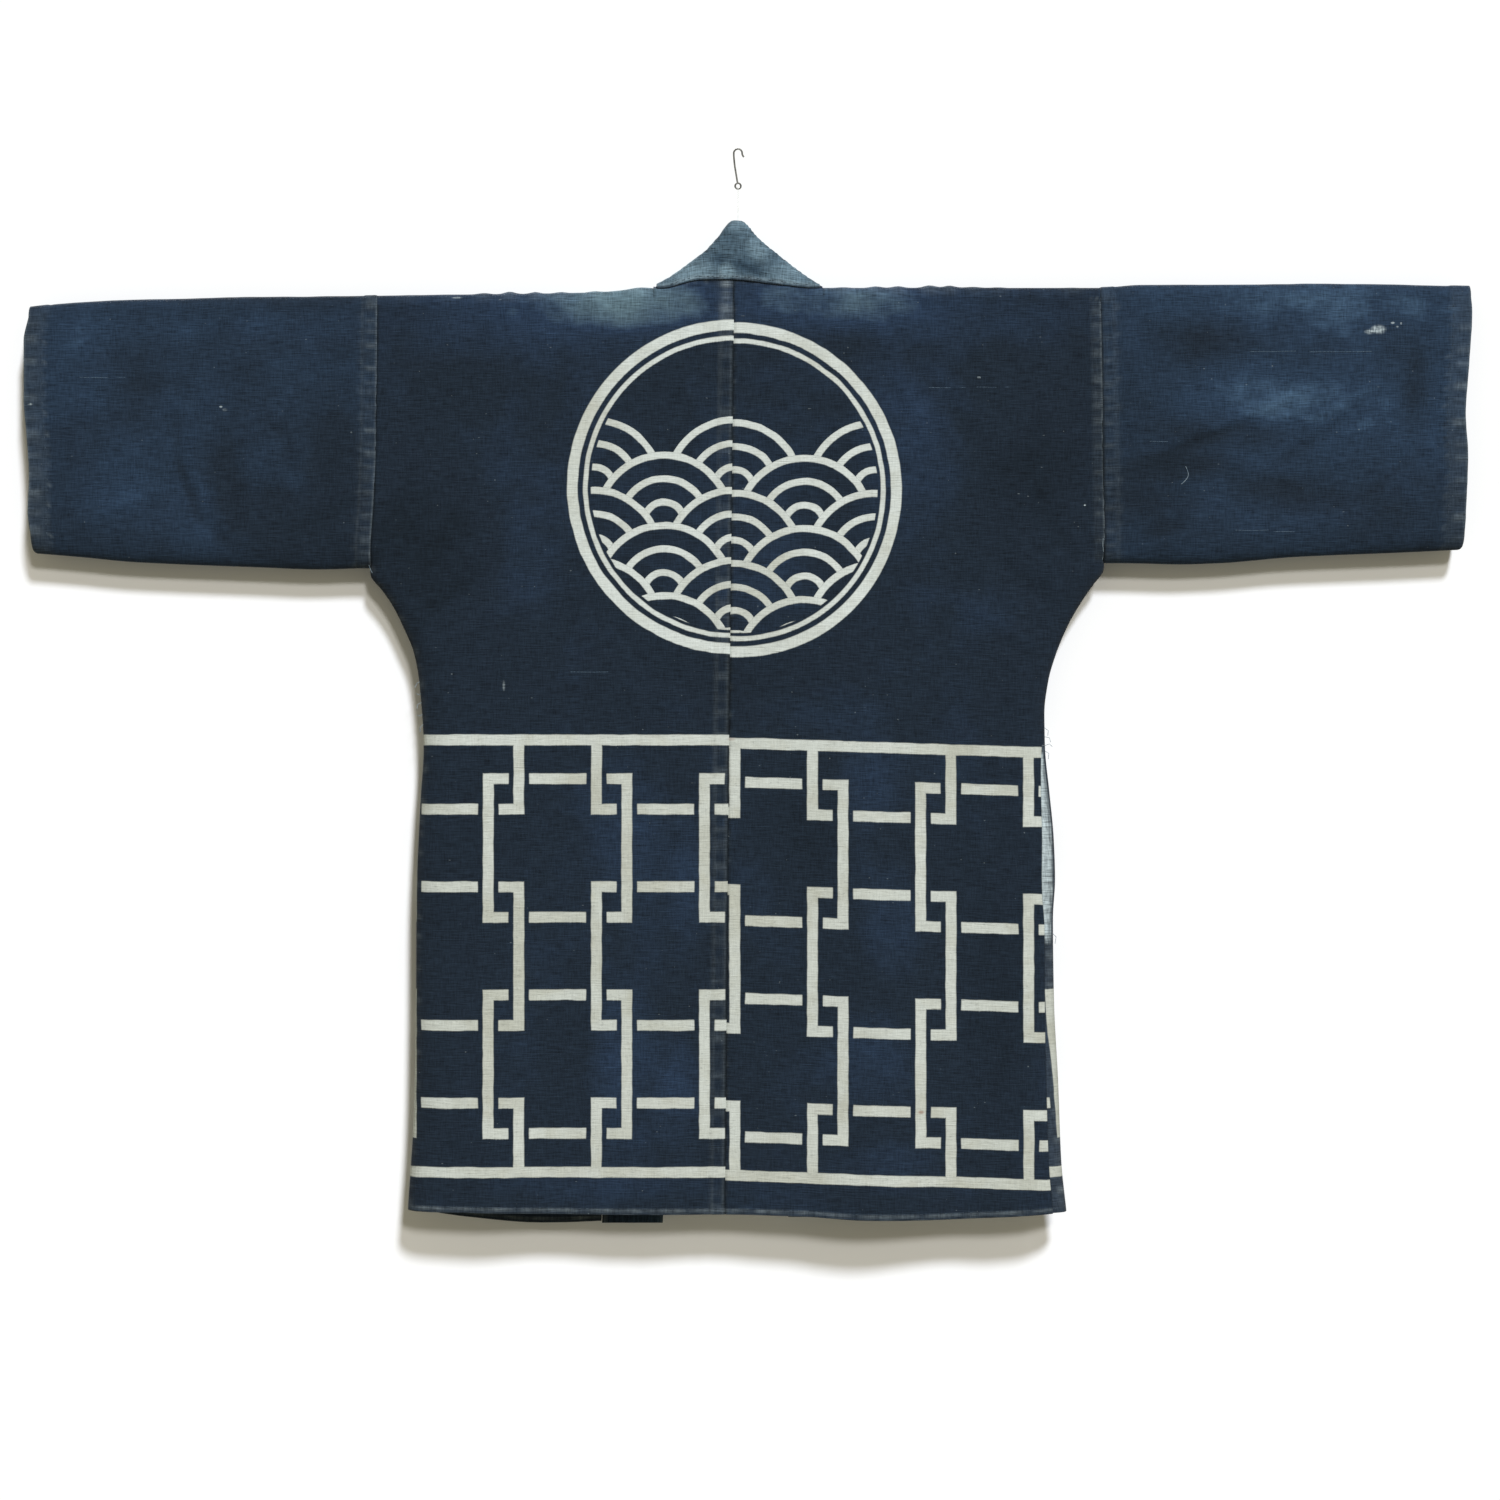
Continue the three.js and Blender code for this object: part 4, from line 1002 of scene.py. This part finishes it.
def sleeve(side, name):
    right = side > 0
    edge = side_edge[side]
    cuff = cuff_of[side]
    creases = RIGHT_SLEEVE_CREASES if right else LEFT_SLEEVE_CREASES
    seed = 3.7 if right else 1.9
    mirrored = [(x, FRONT_MIRROR - z, *shape, -lift) for x, z, *shape, lift in creases]

    def armhole_at(z):
        return edge(z) - side * (HALF_WALL + OVERLAP)

    def face(share, row, way):
        zr = mix(UNDERARM[side], axis_of(side * SHOULDER_X), row)
        x = mix(armhole_at(zr), cuff(zr), share)
        bottom = mix(UNDERARM[side], sleeve_bottom(x), ease(share * 4))
        corner = np.clip(CORNER - np.abs(cuff(zr) - x), 0, CORNER)
        bottom = bottom + CORNER - np.sqrt(CORNER**2 - corner**2)
        z = mix(bottom, axis_of(x), row)
        wave = sleeve_folds(share) * np.sin(np.pi * row)
        flare = HANG_FLARE * drop(z) * (1 if way < 0 else 0.5)
        depth = (ROD_DEPTH + flare + wave) * closing(z - bottom)
        d_arm = np.abs(x - armhole_at(zr))
        d_cuff = np.abs(cuff(zr) - x)
        pulled = creased(x, z, creases if way < 0 else mirrored)
        lift = dented(x, z, 7.0 + way) + pulled
        lift += 0.55 * step_down(d_arm, ALLOWANCE) - (1.3 if right else 0.9) * bump_at(d_arm, 1.3)
        lift += puckers(d_arm, z, 0.5, 11, seed, 11)
        lift += folded_edge(d_cuff, CUFF_FOLD, 0.45, 0.3)
        lift += puckers(d_cuff, z, 0.55, 17, seed + 1, 20)
        lift += puckers(z - bottom, x, 0.35, 16, seed + 2, 10)
        lift = lift * ease((z - bottom) / 8)
        rub = seam_wear(np.abs(d_arm - 5.5), z, 11, seed, reach=4.5, amount=0.10 if right else 0.16)
        rub += seam_wear(np.abs(d_arm - 15), z, 13, seed + 4, reach=3, amount=0.05)
        rub += 0.006 * step_down(d_arm, ALLOWANCE + 2) + 0.03 * bump_at(d_arm - ALLOWANCE, 1.2)
        rub += seam_wear(np.abs(d_cuff - 5), z, 17, seed + 1, reach=7, amount=0.14)
        rub += seam_wear(np.abs(d_cuff - CUFF_FOLD), z, 9, seed + 3, reach=1.8, amount=0.14)
        rub += 0.10 * bump_at(d_cuff, 1.4) + 0.025 * step_down(d_cuff, CUFF_FOLD)
        rub += 0 if right else seam_thread(d_arm, z, seed)
        # painted shade along the right sleeve's armhole seam, and painted highlight and shade on the
        # creases
        dye = crease_wear_and_painted_light(pulled, d_arm + (0 if right else 9))
        y = way * hugging(depth + lift, axis_of(x) - z)
        return columns_of(x, y, z), columns_of(x, z), columns_of(rub, dye, 0.0)

    def ring(share, s):
        """s runs round the tube: 0 to 1 up the back, 1 to 2 over the rod, 2 to 3 down the front."""
        back = face(share, np.clip(s, 0, 1), -1)
        front = face(share, np.clip(3 - s, 0, 1), 1)
        turn = np.clip(s - 1, 0, 1)
        x, angle = back[0][..., 0], np.pi * turn
        radius = mix(-back[0][..., 1], front[0][..., 1], turn)
        place = columns_of(x, -radius * np.cos(angle), axis_of(x) + radius * np.sin(angle))
        flat = columns_of(x, axis_of(x) + 16 * np.sin(angle))
        wear_and_shade = mix(back[2], front[2], turn[:, None]) * (1 - 0.7 * np.sin(angle))[:, None]
        is_over, is_front = ((s > 1) & (s < 2))[:, None], (s >= 2)[:, None]
        parts = zip(back, (place, flat, wear_and_shade), front)
        return [np.where(is_front, c, np.where(is_over, b, a)) for a, b, c in parts]

    height, reach = 243, 310  # about the size of one side, for the spacing of the rows
    up = steps(0, height, BACK_PITCH, fine_start=True) / height
    down = 3 - steps(0, height, FRONT_PITCH, fine_start=True)[::-1] / height
    turns = np.concatenate([up, np.linspace(1, 2, TURN_ROWS)[1:-1], down])
    across = steps(0, reach, BACK_PITCH, fine_start=True, fine_end=True) / reach
    work = bmesh.new()
    add_grid(work, across, turns, ring)
    return finished(work, name, sleeve_cloths[side], weld=0.3)


sleeve_left = sleeve(-1, "sleeve_left_cloth")
sleeve_right = sleeve(1, "sleeve_right_cloth")

# %% [markdown]
# ## The collar
# The collar is one long band, folded in four and stiff with layers. At the back of the neck it stands
# up and then turns over along a slanting ridge on each side, which gives the peak above the shoulders.
# From there the two ends run down the fronts. Each cross-section is walked from the seam up to the
# ridge and over it, so the band keeps its width all along.

# %% Collar
COLLAR_WIDTH = 55
COLLAR_CLOTH = 3.0
COLLAR_STEPS = 20
MARCH = 0.6
NECK_LAP = 0.6  # the collar lies over the body's raw edge by this much
LINE_ROOM = 2.8
back_slope = through((0, 20), (15, 2), (28, -9), (45, -16), (62, -21), (76, -23))
front_slope = through((-430, 0), (-260, -3), (-190, -9), (-152, -17), (-124, -23))


def tent_depth(x, z, depth):
    rise = max(ridge(x) - axis_of(x), depth)
    share = min(max((z - axis_of(x)) / rise, 0), 1)
    return depth * math.sqrt(1 - share * share)


def wall_side_y(x, z):
    bare = 0.5 * HANG_FLARE * drop(z) + front_folds(x) * fold_fade(z)
    return tent_depth(x, z, COLLAR_DEPTH) + max(bare, 0)


def collar_section(seam_x, seam_z, over, degrees):
    side = 1 if seam_x > 0 else -1
    angle = math.radians(degrees)
    x, z = seam_x, seam_z
    walked = [0.0]
    path = []

    def place():
        y = wall_side_y(x, z) if over else -max(tent_depth(x, z, ROD_DEPTH), LINE_ROOM - abs(x) / 4)
        path.append(np.array([x, y, z], float))

    place()
    while walked[-1] < COLLAR_WIDTH:
        over = over or z + MARCH >= ridge(x)
        if over:
            x -= side * MARCH * math.cos(angle)
            z += MARCH * math.sin(angle)
        else:
            z += MARCH
        place()
        walked.append(walked[-1] + np.linalg.norm(path[-1] - path[-2]))
    wanted = np.linspace(0, COLLAR_WIDTH, COLLAR_STEPS + 1)
    path = np.array(path)
    return np.stack([np.interp(wanted, walked, path[:, k]) for k in range(3)], axis=-1)


def collar_side(side):
    front_seam = front_seam_of[side]
    sections = []
    for x in side * np.arange(3.0, NECK_X - 1, 2.4):
        sections.append(collar_section(x, neckline(x) - NECK_LAP, False, back_slope(abs(x))))
    neck_x = side * (NECK_X - 0.4)
    for degrees in range(90, 171, 16):
        seam_z = axis_of(neck_x) + COLLAR_DEPTH * math.sin(math.radians(degrees))
        sections.append(collar_section(neck_x, seam_z, True, front_slope(seam_z)))
    for t in steps(0, 1, 0.008)[::-1]:
        zr = mix(HEM_Z, TOP_Z, t)
        x = front_seam(zr) - side * 0.4
        z = mix(front_hem(x) - 2, axis_of(x), t)
        sections.append(collar_section(x, z, True, front_slope(z)))
    return sections


def build_collar():
    centre = collar_section(-1.0, neckline(0.0) - NECK_LAP, False, 20)
    sections = np.array([*collar_side(-1)[::-1], centre, *collar_side(1)])
    count = len(sections)
    gap = np.linalg.norm(np.diff(sections[:, 0], axis=0), axis=1)
    length_at = np.append(0, np.cumsum(gap))
    middle = length_at[np.argmin(np.abs(sections[:, 0, 0]))]

    def place(section, step):
        i, j = section.astype(int), step.astype(int)
        points = sections[i, j].copy()
        along = length_at[i] - middle
        across = j * COLLAR_WIDTH / COLLAR_STEPS
        lift = puckers(across, along, 0.35, 13, 2.0, 6)
        lift += puckers(COLLAR_WIDTH - across, along, 0.3, 18, 5.0, 8)
        points[..., 1] += np.where(points[..., 1] > 0, lift, -lift)
        rub = seam_wear(across, along, 13, 2.0, reach=6, amount=0.14)
        # the pale line 2.4 mm above the collar's lower edge is a painted highlight, partly wear
        rub += 0.12 * bump_at(COLLAR_WIDTH - across, 2.0) + 0.12 * bump_at(across - 2.4, 1.2)
        # along the collar's lower edge, at the neck seam, the second part is painted shade
        wear_and_shade = columns_of(rub, -0.6 * bump_at(across, 1.1), 0.0)
        return points, columns_of(along, across), wear_and_shade

    work = bmesh.new()
    add_grid(work, np.arange(count, dtype=float), np.arange(COLLAR_STEPS + 1, dtype=float), place)
    collar = finished(work, "collar_cloth", collar_cloth, thickness=COLLAR_CLOTH)
    rounding = collar.modifiers.new("rounded_edges", "BEVEL")
    rounding.width = 1.1 * MM
    rounding.segments = 3
    rounding.limit_method = "ANGLE"
    rounding.angle_limit = math.radians(60)
    return collar


collar = build_collar()

# %% [markdown]
# ## Stitches and loose threads
# Hand stitches hold the hem, the cuffs and the collar's lower edge, and old cloth sheds threads at its
# worn edges. Each is a short curve with a round bevel, and most are laid on the cloth by a ray that
# finds its surface. The curves become three meshes: stitches, loose threads and thick weft.

# %% Lay threads on the cloth
evaluated = bpy.context.evaluated_depsgraph_get()
cloths = (body_left, body_right, sleeve_left, sleeve_right, collar)
surfaces = [BVHTree.FromObject(cloth, evaluated) for cloth in cloths]


def on_back(x, z, lift=0.1):
    """The point on the outermost cloth here, seen from behind the coat, in metres."""
    start = Vector((x * MM, -0.3, z * MM))
    hits = [tree.ray_cast(start, Vector((0, 1, 0)))[0] for tree in surfaces]
    nearest = min((hit.y for hit in hits if hit), default=0)
    return Vector((x * MM, nearest - lift * MM, z * MM))


def add_thread(curve, points):
    spline = curve.splines.new("NURBS" if len(points) > 3 else "POLY")
    spline.points.add(len(points) - 1)
    for slot, point in zip(spline.points, points):
        slot.co = (*point, 1)
    if spline.type == "NURBS":
        spline.order_u = 3
        spline.use_endpoint_u = True
        spline.resolution_u = 4


def new_curve(name, radius):
    curve = bpy.data.curves.new(name, "CURVE")
    curve.dimensions = "3D"
    curve.bevel_depth = radius * MM
    curve.bevel_resolution = 1
    curve.use_fill_caps = True
    return curve


def as_mesh(curve, material):
    holder = bpy.data.objects.new(curve.name + "_curve", curve)
    mesh = bpy.data.meshes.new_from_object(holder)
    bpy.data.objects.remove(holder)
    mesh.name = curve.name
    return as_piece(mesh, material)


def thread_material(name, dark, pale):
    look = {"span": (0.35, 0.65), "bump": 0.0001, "Roughness": 0.9}
    return two_tone(name, (900, 900, 900), dark, pale, **look)


# %% Stitches
STITCH_LIFTS = (0.05, 0.2, 0.05)  # both ends and the middle of a stitch, above the cloth


def stitch_row(curve, route, pitch, length, uneven=0.25):
    """Running stitches along a route of (x, z) points in millimetres."""
    route = np.array(route, float)
    walked = np.append(0, np.cumsum(np.hypot(*np.diff(route, axis=0).T)))
    at = pitch
    while at < walked[-1] - length:
        shift = pitch * uneven * math.sin(at * 1.7)
        reach = [at + shift + length * k / 2 for k in range(3)]
        xs, zs = (np.interp(reach, walked, route[:, k]) for k in range(2))
        add_thread(curve, [on_back(x, z, lift) for x, z, lift in zip(xs, zs, STITCH_LIFTS)])
        at += pitch


stitches = new_curve("stitching", 0.26)
for start, end in ((-292, -16), (-8, 282)):
    stitch_row(stitches, [(x, back_hem(x) + 5.2) for x in np.linspace(start, end, 60)], 7.5, 2.2)
for side, start, end in ((-1, -356, -150), (1, -352, -132)):
    line = [(cuff_of[side](z) - side * (CUFF_FOLD - 1.5), z) for z in np.linspace(start, end, 40)]
    stitch_row(stitches, line, 8, 1.8)
stitch_row(stitches, [(x, neckline(x) + 2.6) for x in np.linspace(-66, 66, 40)], 5.5, 2.2)
indigo_thread = thread_material("indigo_thread", (34, 45, 57), (66, 82, 94))
stitching = as_mesh(stitches, indigo_thread)

# %% Loose threads
LOOSE = [
    [(401, -286), (403.5, -291), (403, -297), (397, -302)],
    [(-331.5, -374), (-330, -378.5), (-328.5, -381)],
    [(327.4, -350), (326.9, -356), (328.2, -362), (327.3, -369)],
]
SLUBS = [
    [(459, -182.6), (480, -182.8), (500, -182.4)],
    [(512, -183.2), (528, -183), (545, -183.3), (568, -182.8)],
    [(369, -263.5), (382, -263.8), (396, -263.4)],
    [(446, -343), (462, -343.3), (476, -342.9)],
    [(480, -344.4), (490, -344.2), (499, -344.5)],
    [(171, -215), (186, -215.3), (204, -215)],
    [(214, -214.6), (228, -214.9), (243, -214.6)],
    [(-590, -206), (-570, -206.4), (-549, -206)],
    [(-150, -470), (-132, -470.3), (-116, -470)],
]
FRAYS = [
    [(-285, -478), (-288.5, -480), (-290.5, -484)],
    [(-284, -489), (-287.5, -490.5), (-289, -489)],
    [(-284, -497), (-288, -499), (-288.5, -503)],
    [(-283.5, -508), (-286.5, -509.5), (-288.5, -508.5)],
    [(-283, -517), (-286, -520), (-285.5, -524)],
    [(275.5, -520), (279, -522.5), (278.5, -527)],
    [(275.5, -528), (280, -529), (281, -533)],
    [(276, -536), (280, -534.5), (282.5, -537)],
    [(276, -541), (279.5, -543), (279, -548)],
    [(282, -704), (286, -708), (285, -714)],
]
fluff = new_curve("loose_threads", 0.26)
for route in LOOSE:
    add_thread(fluff, [on_back(x, z, 0.15) for x, z in route])
for route in FRAYS:
    add_thread(fluff, [Vector((x, -1.5 - 0.6 * k, z)) * MM for k, (x, z) in enumerate(route)])
worn_thread = thread_material("worn_thread", (96, 116, 132), (150, 164, 170))
loose_threads = as_mesh(fluff, worn_thread)
thick_weft = new_curve("slub_threads", 0.17)
for route in SLUBS:
    add_thread(thick_weft, [on_back(x, z, 0.06) for x, z in route])
pale_weft = thread_material("pale_weft", (60, 80, 100), (104, 124, 140))
slub_threads = as_mesh(thick_weft, pale_weft)

# %% [markdown]
# ## Hard parts
# The rod, the screw eye, the line and the hook keep their solids' shapes. Only their finishes are made
# here.

# %% Finishes of the hard parts
BAMBOO = {"detail": 4, "roughness": 0.6, "bump": 0.0002, "Roughness": 0.5}
WIRE = {"detail": 3, "Metallic": 1, "Roughness": 0.6}
NYLON = {"span": None, "Alpha": 0.25, "IOR": 1.53, "Roughness": 0.12}
bamboo = two_tone("bamboo", (6, 900, 900), (150, 118, 72), (196, 164, 110), **BAMBOO)
wire = two_tone("galvanised_wire", (700, 700, 260), (84, 83, 78), (128, 127, 121), **WIRE)
clear_line = two_tone("clear_nylon", (300, 300, 90), (226, 230, 228), (244, 246, 245), **NYLON)
finishes = {"rod": bamboo, "screw_eye": wire, "hook": wire, "hanging_line": clear_line}
for node, material in finishes.items():
    give(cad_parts[node].data, material)

# %% [markdown]
# ## Wall, floor and light
# The coat hangs against a white wall, which catches its shadow. Even light from the whole room fills
# the shadows. A broad lamp above and a weaker one in front cast them and bring out the cloth's relief.
# The wall leans a little, so the hem's shadow is longer. Wall and floor show only their front and don't
# darken the coat, and a third lamp lights its far side. What the camera sees of the room is plain
# white.


# %% Wall and floor
def plain_sheet(name, corners, colour):
    work = bmesh.new()
    work.faces.new([work.verts.new(c) for c in corners])
    material, tree, shader = new_material(name)
    set_inputs(shader, {"Base Color": colour, "Roughness": 1, "Specular IOR Level": 0})
    from_behind = add_node(tree, "NewGeometry").outputs["Backfacing"]
    unseen = add_node(tree, "BsdfTransparent").outputs[0]
    one_sided = add_node(tree, "MixShader", from_behind, shader.outputs[0], unseen)
    feed(tree.nodes["Material Output"].inputs["Surface"], one_sided.outputs[0])
    piece = as_piece(mesh_from(work, name), material)
    piece.visible_diffuse = False
    piece.visible_shadow = False


WALL_Y = 0.025  # at the height of the sleeves' lower edges
SLEEVE_Z = -0.37
WALL_LEAN = 0.020
FLOOR_Z, WALL_TOP = -1.45, 4
ROOM = 6
floor_corners = [(x * ROOM, y * ROOM, FLOOR_Z) for x, y in ((-1, -1), (1, -1), (1, 1), (-1, 1))]
low_y, high_y = (WALL_Y - WALL_LEAN * (z - SLEEVE_Z) for z in (FLOOR_Z, WALL_TOP))
wall_corners = [(x, low_y, FLOOR_Z) for x in (-ROOM, ROOM)] + [(x, high_y, WALL_TOP) for x in (ROOM, -ROOM)]
plain_sheet("floor", floor_corners, (0.86, 0.86, 0.85, 1))
plain_sheet("wall", wall_corners, (0.98, 0.975, 0.965, 1))
for node in ("hook", "screw_eye", "hanging_line"):
    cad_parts[node].visible_shadow = False  # too thin to cast one that shows

# %% Light
ROOM_LIGHT = 0.26
LAMP_BREADTH = math.radians(8)
world = bpy.data.worlds.new("studio")
scene.world = world
world.use_nodes = True
sky = world.node_tree
room = sky.nodes["Background"]
set_inputs(room, {"Color": (1, 0.93, 0.69, 1), "Strength": ROOM_LIGHT})
backdrop = add_node(sky, "Background", (1, 1, 1, 1))
to_camera = add_node(sky, "LightPath").outputs["Is Camera Ray"]
seen = add_node(sky, "MixShader", to_camera, room.outputs[0], backdrop.outputs[0])
feed(sky.nodes["World Output"].inputs["Surface"], seen.outputs[0])


def lamp(name, along, energy, colour):
    """A broad lamp so far off that it lights everything alike."""
    data = bpy.data.lights.new(name, "SUN")
    data.energy = energy
    data.color = colour
    data.angle = LAMP_BREADTH
    holder = bpy.data.objects.new(name, data)
    holder.rotation_euler = Vector(along).to_track_quat("-Z", "Y").to_euler()
    scene.collection.objects.link(holder)


lamp("ceiling_lamp", (-0.24, 0.72, -0.66), 2.6, (0.94, 0.99, 1.10))
lamp("window_lamp", (-0.24, 0.88, -0.41), 0.95, (1, 0.98, 0.94))
lamp("far_side_lamp", (0.25, -0.74, -0.62), 3.0, (1, 1, 1))
scene.view_settings.view_transform = "Standard"

# %% [markdown]
# ## What each piece is
# Every piece rides on the one body, and each cloth piece takes the place of its solid, which is hidden.
# The table also lists a finish slot and the flat size of what shows of each; they are not used here.

CUTS = {
    "body_left": (body_left, "indigo_body", (0.33, 1.70), 0.42),
    "body_right": (body_right, "indigo_body", (0.34, 1.70), 0.445),
    "sleeve_left": (sleeve_left, "indigo_sleeve", (0.32, 0.49), None),
    "sleeve_right": (sleeve_right, "indigo_sleeve", (0.335, 0.505), None),
    "collar": (collar, "indigo_collar", (0.055, 1.83), None),
}
for trim in (stitching, loose_threads, slub_threads):
    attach(trim, "root")
for node, (piece, slot, flat_size, flat_area) in CUTS.items():
    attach(piece, "root")
    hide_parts(node)
